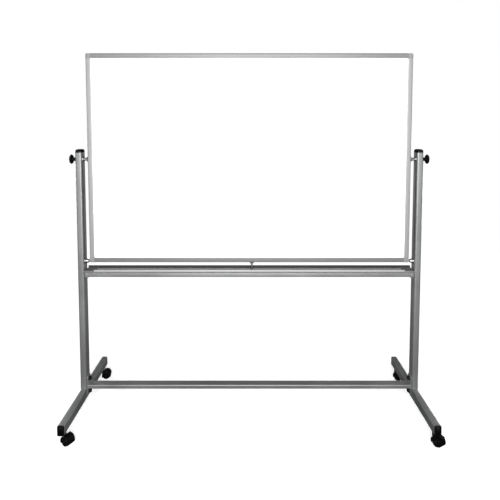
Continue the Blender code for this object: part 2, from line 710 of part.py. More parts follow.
def rest_bushing(finishes):
    """Flanged sleeve through the tray floor and the crossbar's top wall."""
    bore = REST_STEM_RADIUS + GAP
    low = UPPER_BAR_Z + BAR_HEIGHT / 2 - 0.0030
    flange = TRAY_FLOOR_Z + GAP
    profile = [(bore, low), (0.0070, low), (0.0070, flange), (0.0095, flange),
               (0.0095, flange + 0.0010), (0.0088, flange + 0.0018), (bore, flange + 0.0018)]
    return piece("centre_rest_bushing", turned(profile, 24, hollow=True),
                 finishes["grey_plastic"], (REST_X, 0, 0))


def centre_rest(finishes):
    """Sprung rest with a flared head under the middle of the board's bottom rail."""
    collar = UPPER_BAR_Z + BAR_HEIGHT / 2 - 0.0030 - GAP
    foot_z = UPPER_BAR_Z - BAR_HEIGHT / 2 + BAR_WALL + 0.0010
    flare = REST_TOP_Z - 0.0100
    profile = [(0, foot_z + 0.0062), (0.0025, foot_z + 0.0062), (0.0025, collar - 0.0020),
               (0.0060, collar - 0.0020), (0.0060, collar), (REST_STEM_RADIUS, collar),
               (REST_STEM_RADIUS, flare), (0.0052, flare + 0.0030),
               (REST_HEAD_RADIUS - 0.0008, REST_TOP_Z - 0.0022),
               (REST_HEAD_RADIUS, REST_TOP_Z - 0.0010), (REST_HEAD_RADIUS - 0.0006, REST_TOP_Z),
               (0, REST_TOP_Z)]
    return piece("centre_rest", turned(profile, 24), finishes["bright_steel"], (REST_X, 0, 0))


# ---------------------------------------------------------------- the casters
def hood_outline():
    """Side view of the hood: round over the wheels, cut off low in front and behind."""
    centre_x, centre_z = WHEEL_TRAIL, WHEEL_RADIUS
    points = []
    first, last, steps = math.radians(-28), math.radians(205), 22
    for step in range(steps + 1):
        angle = first + (last - first) * step / steps
        points.append((centre_x + HOOD_RADIUS * math.cos(angle),
                       centre_z + HOOD_RADIUS * math.sin(angle)))
    return points


def caster_hood(braked, material):
    """Hood, web and stem socket as one moulding; the stem axis is local Z at the floor."""
    name = "braked_hood" if braked else "plain_hood"
    obj = piece(name, along_y(prism(hood_outline(), -HOOD_HALF_WIDTH, HOOD_HALF_WIDTH)), material)
    socket = turned([(0, 0.026), (0.0080, 0.028), (SOCKET_RADIUS, 0.034),
                     (SOCKET_RADIUS, SOCKET_TOP_Z - 0.001), (SOCKET_RADIUS - 0.001, SOCKET_TOP_Z),
                     (0, SOCKET_TOP_Z)], 24)
    join(obj, f"{name}_socket", socket)
    if braked:
        for label, sign in SIDES.items():
            span = sorted((sign * BRAKE_EAR_INNER, sign * BRAKE_EAR_OUTER))
            ear = box((BRAKE_PIN_X - 0.0030, span[0], 0.0425),
                      (BRAKE_PIN_X + 0.0030, span[1], BRAKE_PIN_Z + 0.0022))
            join(obj, f"{name}_ear_{label}", ear)
        pin = along_y(rod(BRAKE_PIN_RADIUS, -BRAKE_EAR_INNER - 0.001, BRAKE_EAR_INNER + 0.001, 14))
        join(obj, f"{name}_pin", pin, (BRAKE_PIN_X, 0, BRAKE_PIN_Z))
    for label, sign in SIDES.items():
        span = sorted((sign * WEB_HALF_WIDTH, sign * 0.030))
        cut(obj, f"{name}_pocket_{label}", along_y(rod(HOOD_INNER_RADIUS, *span, 44)),
            (WHEEL_TRAIL, 0, WHEEL_RADIUS))
    cut(obj, f"{name}_axle_bore", along_y(rod(AXLE_RADIUS + GAP, -0.01, 0.01, 16)),
        (WHEEL_TRAIL, 0, WHEEL_RADIUS))
    cut(obj, f"{name}_stem_bore", rod(STEM_RADIUS + GAP, 0.0362, 0.060, 20))
    return obj


def wheel_pair(material):
    """Two wheels on their axle, turned about local Y through the origin."""
    radius, half, web = WHEEL_RADIUS, WHEEL_HALF_WIDTH, WEB_HALF_WIDTH + 0.0007
    side = [(0, half - 0.0008), (0.0052, half - 0.0008), (0.0060, half - 0.0024),
            (0.0142, half - 0.0024), (0.0154, half), (radius - 0.0018, half),
            (radius, half - 0.0022), (radius, web + 0.0012), (radius - 0.0010, web),
            (AXLE_RADIUS, web)]
    profile = side + [(r, -y) for r, y in reversed(side)]
    return piece("wheel_pair", along_y(turned(profile, 32)), material)


def brake_pedal(material):
    """Foot pedal hinged on the hood; local origin on its pin."""
    half = BRAKE_EAR_INNER - GAP
    top = [(-0.0021, 0.0004), (-0.0012, 0.0021), (0.0040, 0.0032), (0.0160, 0.0032),
           (0.0262, 0.0016)]
    under = [(0.0262, -0.0006), (0.0150, 0.0010), (0.0060, 0.0008), (0.0018, -0.0019),
             (-0.0012, -0.0020)]
    obj = piece("brake_pedal", along_y(prism(top + under, -half, half)), material)
    bore = along_y(rod(BRAKE_PIN_RADIUS + GAP, -half - 0.002, half + 0.002, 14))
    cut(obj, "brake_pedal_bore", bore)
    return obj


def caster_stem(material):
    """Steel stem fixed in the foot, with the collar that the foot rests on."""
    collar = SOCKET_TOP_Z + GAP
    profile = [(0, 0.0370), (STEM_RADIUS - 0.0008, 0.0370), (STEM_RADIUS, 0.0380),
               (STEM_RADIUS, collar), (0.0080, collar), (0.0085, collar + 0.0006),
               (0.0085, FOOT_BOTTOM_Z - GAP - 0.0010), (0.0075, FOOT_BOTTOM_Z - GAP),
               (STEM_RADIUS, FOOT_BOTTOM_Z - GAP), (STEM_RADIUS, FOOT_BOTTOM_Z + 0.022),
               (0, FOOT_BOTTOM_Z + 0.022)]
    return piece("caster_stem", turned(profile, 20), material)


def baked(obj):
    """The object's evaluated mesh, so that copies can share it without their cutters."""
    bpy.context.view_layer.update()
    graph = bpy.context.evaluated_depsgraph_get()
    mesh = bpy.data.meshes.new_from_object(obj.evaluated_get(graph))
    for modifier in list(obj.modifiers):
        bpy.data.objects.remove(modifier.object, do_unlink=True)
    bpy.data.objects.remove(obj, do_unlink=True)
    return mesh


def casters(finishes):
    plastic, tread, steel = (finishes[name] for name in ("black_plastic", "black_tread",
                                                         "bright_steel"))
    hoods = {braked: baked(caster_hood(braked, plastic)) for braked in (True, False)}
    wheels = baked(wheel_pair(tread))
    stem = baked(caster_stem(steel))
    pedal = baked(brake_pedal(plastic))
    for place, (sign_x, sign_y, yaw, braked) in CASTERS.items():
        swivel = empty(f"caster_{place}_swivel", (sign_x * POST_X, sign_y * CASTER_Y, 0),
                       math.radians(yaw))
        place_mesh(f"caster_{place}_hood", hoods[braked], (0, 0, 0), swivel)
        place_mesh(f"caster_{place}_wheels", wheels, (WHEEL_TRAIL, 0, WHEEL_RADIUS), swivel)
        place_mesh(f"caster_{place}_stem", stem, (sign_x * POST_X, sign_y * CASTER_Y, 0))
        if braked:
            place_mesh(f"caster_{place}_brake", pedal, (BRAKE_PIN_X, 0, BRAKE_PIN_Z), swivel)


# ---------------------------------------------------------------- places that pieces share
POST_BOLT_Z = 0.145
FOOT_BOLT_Z = 0.080
BRAKE_EAR_INNER = 0.0125
BRAKE_EAR_OUTER = 0.0150
BRAKE_PIN_X = 0.0190
BRAKE_PIN_Z = 0.0460
BRAKE_PIN_RADIUS = 0.0009


def build():
    clear_scene()
    finishes = make_finishes()
    for side, sign in SIDES.items():
        post(side, sign, finishes)
        post_cap(side, sign, finishes)
        foot(side, sign, finishes)
        for end, toward in (("front", -1), ("rear", 1)):
            foot_cap(end, toward, side, sign, finishes)
        plate_bolt("post", POST_BOLT_Z, side, sign, finishes)
        plate_bolt("foot", FOOT_BOLT_Z, side, sign, finishes)
        tray_end_cap(side, sign, finishes)
        pivot_bushing(side, sign, finishes)
        side_catch_housing(side, sign, finishes)
        side_catch_nose(side, sign, finishes)
        side_catch_spring(side, sign, finishes)
    lower_crossbar(finishes)
    upper_crossbar(finishes)
    pen_tray(finishes)
    tray_front_lip(finishes)
    tray_buffer_strip(finishes)
    rest_bushing(finishes)
    centre_rest(finishes)

    pivot = empty("board_pivot", (0, 0, PIVOT_Z))
    board_core(finishes, pivot)
    for face, toward in (("front", -1), ("back", 1)):
        writing_sheet(face, toward, finishes, pivot)
    for level, sign in (("top", 1), ("bottom", -1)):
        level_rail(f"frame_rail_{level}", sign, finishes, pivot)
    for side, sign in SIDES.items():
        upright_rail(f"frame_rail_{side}", sign, finishes, pivot)
        for level, sign_z in (("top", 1), ("bottom", -1)):
            frame_corner(f"frame_corner_{level}_{side}", sign, sign_z, finishes, pivot)
        pivot_shaft(side, sign, finishes, pivot)
        clamp_knob(side, sign, finishes, pivot)
    casters(finishes)
    bpy.context.view_layer.update()


build()
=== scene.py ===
"""Fine shapes and finishes of a reversible whiteboard on a wheeled stand.

Metres, +Z up, front towards -Y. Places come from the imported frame's boxes and joints; the sizes
named below are those of finer details, and the few levels that no box gives.
"""

import json
import math

import bmesh
import bpy
from mathutils import Matrix, Vector


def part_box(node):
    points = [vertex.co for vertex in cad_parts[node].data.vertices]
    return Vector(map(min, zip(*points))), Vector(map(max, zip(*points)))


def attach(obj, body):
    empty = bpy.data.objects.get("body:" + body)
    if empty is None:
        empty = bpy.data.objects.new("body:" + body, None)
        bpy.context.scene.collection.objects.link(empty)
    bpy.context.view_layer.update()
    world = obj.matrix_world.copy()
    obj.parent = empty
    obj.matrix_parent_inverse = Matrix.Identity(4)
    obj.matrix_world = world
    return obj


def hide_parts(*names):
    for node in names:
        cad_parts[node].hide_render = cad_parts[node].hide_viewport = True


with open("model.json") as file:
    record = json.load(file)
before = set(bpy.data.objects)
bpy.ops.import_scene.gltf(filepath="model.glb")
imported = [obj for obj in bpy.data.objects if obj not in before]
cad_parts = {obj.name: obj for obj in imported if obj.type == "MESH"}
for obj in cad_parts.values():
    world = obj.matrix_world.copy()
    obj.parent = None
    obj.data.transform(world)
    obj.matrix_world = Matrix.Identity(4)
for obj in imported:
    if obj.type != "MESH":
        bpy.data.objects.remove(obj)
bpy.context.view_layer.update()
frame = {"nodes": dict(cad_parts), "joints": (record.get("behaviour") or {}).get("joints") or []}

SIDES = {"left": -1, "right": 1}

# Outside corner radii and walls of the tubes, and the caps pushed into their ends.
TUBE_CORNER = 0.0070
TUBE_WALL = 0.0020
FOOT_CORNER = 0.0060
PLUG_DEPTH = 0.0100         # how far a cap's plug reaches into its tube
SEAM = 0.0003               # gap left open between a tube and its cap
CAP_FLANGE = 0.0050         # upright edge of a post's cap, under its dome
CAP_ROUNDING = 0.0085
FOOT_CAP_RIM = 0.0030

# The two crossbars.
BAR_CORNER = 0.0040
BAR_WALL = 0.0015
BAR_HEIGHT = 0.020
LOWER_BAR_LEVEL = 0.110
PLATE = 0.004               # thickness of the lower crossbar's end plates
BLOCK_LENGTH = 0.0165       # of the blocks at the ends of the upper crossbar

# The tray, its rest and the side catches.
TRAY_FLOOR = 0.0023
REST_HOLE = 0.0073          # radius
SPRING_WIRE = 0.0006        # radius
CATCH_STROKE = 0.0060

# The slot in the board's frame that takes the panel's edge.
SLOT_HALF = 0.0050
SLOT_DEPTH = 0.0070

# The brake pedals' hinge, from the caster's stem and from the floor.
PEDAL_PIN_X = 0.0190
PEDAL_PIN_Z = 0.0460

FACET_ANGLE = math.radians(32)      # edges sharper than this stay crisp
EASE_LIMIT = math.radians(50)       # edges sharper than this are eased

# Brightness of the floor near the stand and of the studio, and the camera.
FLOOR_GLOW = 0.50
STUDIO_SIDE = 0.04
STUDIO_TOP = 0.16
CAMERA_PLACE = (0.0, -2.0618, 1.350)
CAMERA_TILT = math.radians(86.52)
CAMERA_LENS = 31.46
CAMERA_SHIFT = (0.0014, -0.1866)


# ---------------------------------------------------------------- shader expressions
class Channel:
    """One socket of a material; arithmetic on it adds Math nodes."""

    def __init__(self, finish, socket):
        self.finish = finish
        self.socket = socket

    def combined(self, operation, first, second):
        node = self.finish.add("ShaderNodeMath", {"operation": operation}, {0: first, 1: second})
        return Channel(self.finish, node.outputs[0])

    def __add__(self, other):
        return self.combined("ADD", self, other)

    def __mul__(self, other):
        return self.combined("MULTIPLY", self, other)


class Finish:
    """A material with a Principled shader, and the one method that adds nodes to it."""

    def __init__(self, name, metallic=0.0, specular=0.5):
        self.material = bpy.data.materials.new(name)
        self.material.use_nodes = True
        self.tree = self.material.node_tree
        self.shader = self.tree.nodes["Principled BSDF"]
        self.material.diffuse_color = (0.5, 0.5, 0.5, 1.0)
        self.shader.inputs["Metallic"].default_value = metallic
        self.shader.inputs["Specular IOR Level"].default_value = specular

    def add(self, kind, settings=None, values=None):
        node = self.tree.nodes.new(kind)
        for label, value in (settings or {}).items():
            setattr(node, label, value)
        for label, value in (values or {}).items():
            if isinstance(value, Channel):
                self.tree.links.new(value.socket, node.inputs[label])
            else:
                node.inputs[label].default_value = value
        return node

    def feed(self, label, channel):
        self.tree.links.new(channel.socket, self.shader.inputs[label])

    def place(self, stretch=(1, 1, 1)):
        """Object coordinates, stretched along each axis."""
        source = Channel(self, self.add("ShaderNodeTexCoord").outputs["Object"])
        node = self.add("ShaderNodeMapping", None, {"Vector": source, "Scale": stretch})
        return Channel(self, node.outputs["Vector"])

    def noise(self, scale, detail=2.0, stretch=(1, 1, 1), roughness=0.5):
        values = {"Vector": self.place(stretch), "Scale": scale, "Detail": detail,
                  "Roughness": roughness}
        return Channel(self, self.add("ShaderNodeTexNoise", None, values).outputs["Fac"])

    def cells(self, scale):
        values = {"Vector": self.place(), "Scale": scale}
        return Channel(self, self.add("ShaderNodeTexVoronoi", None, values).outputs["Distance"])

    def between(self, share, low, high, start=0.0, end=1.0):
        """Number that runs from low to high as share runs from start to end."""
        values = {"Value": share, "From Min": start, "From Max": end, "To Min": low, "To Max": high}
        return Channel(self, self.add("ShaderNodeMapRange", None, values).outputs["Result"])

    def blend(self, share, first, second):
        """Colour that runs from first to second with share."""
        settings = {"data_type": "RGBA", "clamp_factor": True}
        values = {"Factor": share}
        node = self.add("ShaderNodeMix", settings, values)
        for socket, colour in ((node.inputs[6], first), (node.inputs[7], second)):
            if isinstance(colour, Channel):
                self.tree.links.new(colour.socket, socket)
            else:
                socket.default_value = (*colour, 1.0)
        return Channel(self, node.outputs[2])

    def tint(self, share, first, second, start=0.35, end=0.65):
        """Base colour that runs from first to second as share runs from start to end."""
        part = self.between(share, 0.0, 1.0, start, end)
        self.feed("Base Color", self.blend(part, first, second))

    def gloss(self, share, smooth, dull, start=0.35, end=0.65):
        """Roughness that runs from smooth to dull as share runs from start to end."""
        self.feed("Roughness", self.between(share, smooth, dull, start, end))

    def relief(self, height, strength, distance):
        values = {"Height": height, "Strength": strength, "Distance": distance}
        self.feed("Normal", Channel(self, self.add("ShaderNodeBump", None, values).outputs[0]))


def grey(level, warmth=0.0):
    return (level * (1 + warmth), level, level * (1 - warmth))


# ---------------------------------------------------------------- finishes
def silver_powder_coat():
    """Silver powder coat on welded steel tube: fine orange peel and faint metal flake."""
    coat = Finish("silver powder coat", metallic=0.62)
    flake = coat.noise(2600, 1.0)
    cloud = coat.noise(5.0, 3.0)
    peel = coat.noise(620, 2.0)
    tone = flake * 0.55 + cloud * 0.45
    coat.tint(tone, grey(0.195, -0.01), grey(0.262, -0.01), 0.36, 0.66)
    coat.gloss(cloud, 0.40, 0.50)
    coat.relief(peel + flake * 0.3, 0.16, 0.0004)
    return coat.material


def drawn_aluminium(name, stretch, dark, light):
    """Satin anodised extrusion with fine die lines along its length."""
    metal = Finish(name, metallic=0.30)
    lines = metal.noise(1.0, 3.0, stretch, 0.7)
    cloud = metal.noise(3.0, 2.0)
    metal.tint(lines * 0.8 + cloud * 0.2, grey(dark), grey(light))
    metal.gloss(lines, 0.42, 0.54)
    metal.relief(lines, 0.20, 0.0002)
    return metal.material


def white_enamel():
    """Glossy porcelain-white writing surface with the faintest haze from wiping."""
    enamel = Finish("white enamel")
    haze = enamel.noise(2.2, 4.0, (1.0, 1.0, 3.0), 0.6)
    ripple = enamel.noise(38.0, 1.0)
    enamel.tint(haze, (0.945, 0.948, 0.95), (0.96, 0.96, 0.96))
    enamel.gloss(haze, 0.28, 0.33, 0.30, 0.70)
    enamel.relief(ripple, 0.02, 0.0003)
    return enamel.material


def fibre_core():
    """Pressed fibreboard, seen only on an edge."""
    board = Finish("fibre core")
    strands = board.noise(420, 4.0, (1, 3, 1), 0.7)
    board.tint(strands, (0.16, 0.10, 0.06), (0.36, 0.25, 0.15), 0.3, 0.7)
    board.gloss(strands, 0.75, 0.95, 0.0, 1.0)
    board.relief(strands, 0.5, 0.0004)
    return board.material


def moulded_plastic(name, dark, light, smooth, dull):
    """Injection-moulded plastic with a fine spark-eroded grain."""
    plastic = Finish(name, specular=0.12)
    grain = plastic.cells(1500)
    flow = plastic.noise(26, 3.0)
    plastic.tint(flow, grey(dark), grey(light))
    plastic.gloss(flow, smooth, dull)
    plastic.relief(grain, 0.12, 0.0003)
    return plastic.material


def strip_rubber():
    """Matt extruded rubber with long faint draw marks and a little dust."""
    rubber = Finish("strip rubber")
    marks = rubber.noise(1.0, 3.0, (3, 900, 900), 0.6)
    dust = rubber.noise(60, 5.0, (1, 1, 1), 0.7)
    rubber.tint(marks * 0.5 + dust * 0.5, grey(0.008), grey(0.020), start=0.4)
    rubber.gloss(dust, 0.62, 0.85)
    rubber.relief(marks + dust * 0.4, 0.25, 0.0003)
    return rubber.material


def bright_steel():
    """Nickel-plated turned steel with faint turning lines around X."""
    steel = Finish("bright plated steel", metallic=1.0)
    lines = steel.noise(1.0, 2.0, (2600, 120, 120), 0.6)
    cloud = steel.noise(70, 3.0)
    steel.tint(cloud, grey(0.26, 0.01), grey(0.38, 0.01))
    steel.gloss(lines * 0.6 + cloud * 0.4, 0.34, 0.46)
    steel.relief(lines, 0.06, 0.0002)
    return steel.material


def spring_steel():
    """Oiled spring wire."""
    wire = Finish("spring wire", metallic=1.0)
    scale = wire.noise(300, 3.0)
    wire.tint(scale, grey(0.20), grey(0.34))
    wire.gloss(scale, 0.25, 0.42)
    return wire.material


def wheel_tread():
    """Hard black tyre, scuffed a little lighter in patches."""
    tread = Finish("wheel tread", specular=0.15)
    scuffs = tread.noise(190, 5.0, (1, 1, 1), 0.75)
    tread.tint(scuffs, grey(0.002), grey(0.007), 0.50, 0.72)
    tread.gloss(scuffs, 0.34, 0.60, 0.4, 0.7)
    tread.relief(scuffs, 0.10, 0.0003)
    return tread.material


FINISHES = {
    "paint": silver_powder_coat(),
    # Level and upright rails are one anodised aluminium at two tones: the level rails are painted
    # darker as painted shade, and the upright rails lighter as painted light, for how the light
    # falls on each.
    "shade-painted level rail": drawn_aluminium("shade-painted level rail aluminium", (3, 900, 900), 0.140, 0.178),
    "light-painted upright rail": drawn_aluminium("light-painted upright rail aluminium", (900, 900, 3), 0.240, 0.300),
    # The tray's aluminium is painted lighter still, a painted highlight standing in for the light
    # its rounded lip catches.
    "tray": drawn_aluminium("tray aluminium painted lighter", (3, 900, 900), 0.32, 0.39),
    "enamel": white_enamel(),
    "fibre": fibre_core(),
    "grey plastic": moulded_plastic("grey corner plastic", 0.205, 0.235, 0.38, 0.48),
    "end plastic": moulded_plastic("grey tray end plastic", 0.125, 0.150, 0.38, 0.50),
    "black plastic": moulded_plastic("black plastic", 0.001, 0.002, 0.34, 0.46),
    "rubber": strip_rubber(),
    "steel": bright_steel(),
    "spring": spring_steel(),
    "tread": wheel_tread(),
}


# ---------------------------------------------------------------- outlines and solids
def rounded(width, height, radius, steps=9):
    """Corner-rounded rectangle around the origin, as (across, up) points."""
    points = []
    for quarter in range(4):
        across = (1 if quarter in (0, 3) else -1) * (width / 2 - radius)
        up = (1 if quarter in (0, 1) else -1) * (height / 2 - radius)
        for step in range(steps + 1):
            angle = math.pi / 2 * (quarter + step / steps)
            points.append((across + radius * math.cos(angle), up + radius * math.sin(angle)))
    return points


def set_out(axis, across, up, along):
    """Point whose outline lies square to an axis."""
    if axis == "X":
        return Vector((along, across, up))
    if axis == "Y":
        return Vector((across, along, up))
    return Vector((across, up, along))


def lofted(axis, sections, hollow=False):
    """Solid through outlines of equal point count, given as (outline, place along the axis).

    A hollow one is a loop of sections whose last outline joins its first.
    """
    bm = bmesh.new()
    rings = []
    for outline, along in sections:
        rings.append([bm.verts.new(set_out(axis, u, v, along)) for u, v in outline])
    pairs = list(zip(rings, rings[1:]))
    if hollow:
        pairs.append((rings[-1], rings[0]))
    for lower, upper in pairs:
        for index in range(len(lower)):
            after = (index + 1) % len(lower)
            bm.faces.new((lower[index], lower[after], upper[after], upper[index]))
    if not hollow:
        bm.faces.new(rings[0])
        bm.faces.new(rings[-1])
    bmesh.ops.recalc_face_normals(bm, faces=bm.faces)
    return bm


def turned(axis, profile, centre, segments=48, hollow=False):
    """Profile of (radius, place along the axis) turned about an axis through centre."""
    bm = bmesh.new()
    centre = Vector(centre)
    rings = []
    for radius, along in profile:
        count = 1 if radius == 0 else segments
        ring = []
        for step in range(count):
            angle = 2 * math.pi * step / segments
            place = set_out(axis, radius * math.cos(angle), radius * math.sin(angle), along)
            ring.append(bm.verts.new(place + centre))
        rings.append(ring)
    pairs = list(zip(rings, rings[1:]))
    if hollow:
        pairs.append((rings[-1], rings[0]))
    for lower, upper in pairs:
        for step in range(segments):
            after = (step + 1) % segments
            corners = [lower[step % len(lower)], lower[after % len(lower)],
                       upper[after % len(upper)], upper[step % len(upper)]]
            bm.faces.new(list(dict.fromkeys(corners)))
    bmesh.ops.recalc_face_normals(bm, faces=bm.faces)
    return bm


def shifted(bm, offset):
    bmesh.ops.translate(bm, vec=Vector(offset), verts=bm.verts)
    return bm


def slab(axis, outline, start, end, offset=(0, 0, 0)):
    """Solid of one outline between two places along an axis."""
    low, high = sorted((start, end))
    return shifted(lofted(axis, [(outline, low), (outline, high)]), offset)


def rod(axis, radius, start, end, centre, segments):
    """Plain cylinder along an axis through centre."""
    profile = [(0, start), (radius, start), (radius, end), (0, end)]
    return turned(axis, profile, centre, segments)


def box_tube(axis, size, corner, wall, ends, offset):
    """Open tube of rounded rectangular section."""
    low, high = ends
    outer = rounded(*size, corner)
    inner = rounded(size[0] - 2 * wall, size[1] - 2 * wall, corner - wall)
    loop = [(outer, low), (outer, high), (inner, high), (inner, low)]
    return shifted(lofted(axis, loop, hollow=True), offset)


def middle(node):
    low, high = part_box(node)
    return (low + high) / 2


def helper(bm, name):
    mesh = bpy.data.meshes.new(name)
    bm.to_mesh(mesh)
    bm.free()
    obj = bpy.data.objects.new(name, mesh)
    bpy.context.scene.collection.objects.link(obj)
    return obj


def evaluated_mesh(obj):
    bpy.context.view_layer.update()
    graph = bpy.context.evaluated_depsgraph_get()
    return bpy.data.meshes.new_from_object(obj.evaluated_get(graph))


def shaped(bm, ease=0.0, joined=(), cut=(), ease_steps=3):
    """Mesh with its sharp edges eased, then solids joined to it and cut from it."""
    body = helper(bm, "blank")
    if ease:
        bevel = body.modifiers.new("eased edges", "BEVEL")
        bevel.width = ease
        bevel.segments = ease_steps
        bevel.limit_method = "ANGLE"
        bevel.angle_limit = EASE_LIMIT
    tools = []
    for operation, solids in (("UNION", joined), ("DIFFERENCE", cut)):
        for solid in solids:
            tool = helper(solid, "tool")
            tools.append(tool)
            modifier = body.modifiers.new("step", "BOOLEAN")
            modifier.operation = operation
            modifier.object = tool
    mesh = evaluated_mesh(body)
    for obj in (body, *tools):
        bpy.data.objects.remove(obj, do_unlink=True)
    return mesh


def fitted(name, shape, finish, body, stands_for=(), place=None):
    """A finished piece: its mesh in place, its material, its body and its nodes."""
    if isinstance(shape, bpy.types.Mesh):
        mesh = shape
    else:
        mesh = bpy.data.meshes.new(name)
        shape.to_mesh(mesh)
        shape.free()
    if place is not None:
        mesh.transform(place)
    mesh.name = name
    mesh.materials.clear()
    mesh.materials.append(FINISHES[finish])
    for polygon in mesh.polygons:
        polygon.material_index = 0
        polygon.use_smooth = True
    mesh.set_sharp_from_angle(angle=FACET_ANGLE)
    obj = bpy.data.objects.new(name, mesh)
    bpy.context.scene.collection.objects.link(obj)
    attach(obj, body)
    if stands_for:
        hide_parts(*stands_for)


# ---------------------------------------------------------------- geometry node trees
class Network:
    """A geometry node tree with named inputs, whose result gets one material."""

    KINDS = {int: "NodeSocketInt", float: "NodeSocketFloat", tuple: "NodeSocketVector"}

    def __init__(self, name, **sizes):
        self.tree = bpy.data.node_groups.new(name, "GeometryNodeTree")
        face = self.tree.interface
        face.new_socket("Geometry", in_out="INPUT", socket_type="NodeSocketGeometry")
        self.keys = {}
        for label, value in sizes.items():
            socket = face.new_socket(label, in_out="INPUT", socket_type=self.KINDS[type(value)])
            socket.default_value = value
            self.keys[label] = socket.identifier
        socket = face.new_socket("Material", in_out="INPUT", socket_type="NodeSocketMaterial")
        self.keys["Material"] = socket.identifier
        face.new_socket("Geometry", in_out="OUTPUT", socket_type="NodeSocketGeometry")
        self.entry = self.tree.nodes.new("NodeGroupInput")
        self.exit = self.tree.nodes.new("NodeGroupOutput")

    def given(self, label):
        return self.entry.outputs[label]

    def add(self, kind, settings=None, values=None):
        node = self.tree.nodes.new(kind)
        for label, value in (settings or {}).items():
            setattr(node, label, value)
        for label, value in (values or {}).items():
            if isinstance(value, bpy.types.NodeSocket):
                self.tree.links.new(value, node.inputs[label])
            else:
                node.inputs[label].default_value = value
        return node

    def math(self, operation, first, second=0.0):
        node = self.add("ShaderNodeMath", {"operation": operation}, {0: first, 1: second})
        return node.outputs[0]

    def points(self):
        """The points that the tree is run on."""
        given = {"Mesh": self.given("Geometry")}
        return self.add("GeometryNodeMeshToPoints", None, given).outputs[0]

    def turn(self, euler):
        return self.add("FunctionNodeEulerToRotation", None, {"Euler": euler}).outputs[0]

    def spread(self, points, instance, **values):
        """The instance at each of the points."""
        values.update(Points=points, Instance=instance)
        return self.add("GeometryNodeInstanceOnPoints", None, values).outputs[0]

    def close(self, geometry):
        real = self.add("GeometryNodeRealizeInstances", None, {"Geometry": geometry})
        painted = self.add("GeometryNodeSetMaterial", None, {
            "Geometry": real.outputs[0], "Material": self.given("Material")})
        self.tree.links.new(painted.outputs[0], self.exit.inputs[0])

    def run(self, places, finish, edges=(), **sizes):
        """Plain mesh of the tree run on a list of points, which edges may join into a path."""
        mesh = bpy.data.meshes.new("places")
        mesh.from_pydata([tuple(place) for place in places], list(edges), [])
        carrier = bpy.data.objects.new("places", mesh)
        bpy.context.scene.collection.objects.link(carrier)
        modifier = carrier.modifiers.new("network", "NODES")
        modifier.node_group = self.tree
        modifier[self.keys["Material"]] = FINISHES[finish]
        for label, value in sizes.items():
            modifier[self.keys[label]] = value
        carrier.update_tag()
        result = evaluated_mesh(carrier)
        bpy.data.objects.remove(carrier, do_unlink=True)
        return result


def button_screw_network():
    """Domed screw heads with a hexagon socket, one at each point, facing one way."""
    net = Network("button screws", Radius=0.0095, Height=0.0100, Socket=0.0032,
                  Turn=(0.0, 0.0, 0.0))
    head = net.add("GeometryNodeMeshCylinder", {"fill_type": "NGON"}, {
        "Vertices": 32, "Side Segments": 7, "Radius": net.given("Radius"),
        "Depth": net.given("Height")})
    place = net.add("GeometryNodeInputPosition").outputs[0]
    parts = net.add("ShaderNodeSeparateXYZ", None, {0: place})
    share = net.math("ADD", net.math("DIVIDE", parts.outputs["Z"], net.given("Height")), 0.5)
    curve = net.math("SQRT", net.math("SUBTRACT", 1.0, net.math(
        "MULTIPLY", net.math("MULTIPLY", share, share), 0.62)))
    across = net.add("ShaderNodeCombineXYZ", None, {
        "X": net.math("MULTIPLY", parts.outputs["X"], curve),
        "Y": net.math("MULTIPLY", parts.outputs["Y"], curve),
        "Z": net.math("ADD", parts.outputs["Z"], net.math("MULTIPLY", net.given("Height"), 0.5))})
    dome = net.add("GeometryNodeSetPosition", None, {
        "Geometry": head.outputs["Mesh"], "Position": across.outputs[0]})
    key = net.add("GeometryNodeMeshCylinder", None, {
        "Vertices": 6, "Radius": net.given("Socket"), "Depth": net.given("Height")})
    raised = net.add("GeometryNodeTransform", None, {"Geometry": key.outputs["Mesh"]})
    lift = net.add("ShaderNodeCombineXYZ", None, {"Z": net.given("Height")})
    net.tree.links.new(lift.outputs[0], raised.inputs["Translation"])
    cut = net.add("GeometryNodeMeshBoolean", {"operation": "DIFFERENCE"}, {
        "Mesh 1": dome.outputs[0], "Mesh 2": raised.outputs[0]})
    net.close(net.spread(net.points(), cut.outputs["Mesh"], Rotation=net.turn(net.given("Turn"))))
    return net


def weld_network():
    """Overlapping weld ripples along a path."""
    net = Network("weld bead", Width=0.0016, Pitch=0.0009, Seed=3)
    path = net.add("GeometryNodeMeshToCurve", None, {"Mesh": net.given("Geometry")})
    even = net.add("GeometryNodeResampleCurve", {"mode": "LENGTH"}, {
        "Curve": path.outputs[0], "Length": net.given("Pitch")})
    ripple = net.add("GeometryNodeMeshIcoSphere", None, {
        "Radius": net.given("Width"), "Subdivisions": 2})
    points = net.add("GeometryNodeCurveToPoints", {"mode": "EVALUATED"}, {
        "Curve": even.outputs[0]})
    size = net.add("FunctionNodeRandomValue", {"data_type": "FLOAT"}, {
        "Seed": net.given("Seed")})
    size.inputs[2].default_value = 0.86
    size.inputs[3].default_value = 1.0
    net.close(net.spread(points.outputs["Points"], ripple.outputs["Mesh"], Scale=size.outputs[1]))
    return net


def rib_network():
    """Rows of low rounded ribs, one at each point."""
    net = Network("ribs", Size=(0.001, 0.001, 0.001), Turn=0.0, Ease=0.3)
    bar = net.add("GeometryNodeMeshCube", None, {
        "Size": net.given("Size"), "Vertices X": 3, "Vertices Y": 3, "Vertices Z": 3})
    soft = net.add("GeometryNodeSubdivisionSurface", None, {
        "Mesh": bar.outputs["Mesh"], "Level": 1, "Edge Crease": net.given("Ease")})
    spin = net.add("ShaderNodeCombineXYZ", None, {"Z": net.given("Turn")})
    net.close(net.spread(net.points(), soft.outputs[0], Rotation=net.turn(spin.outputs[0])))
    return net


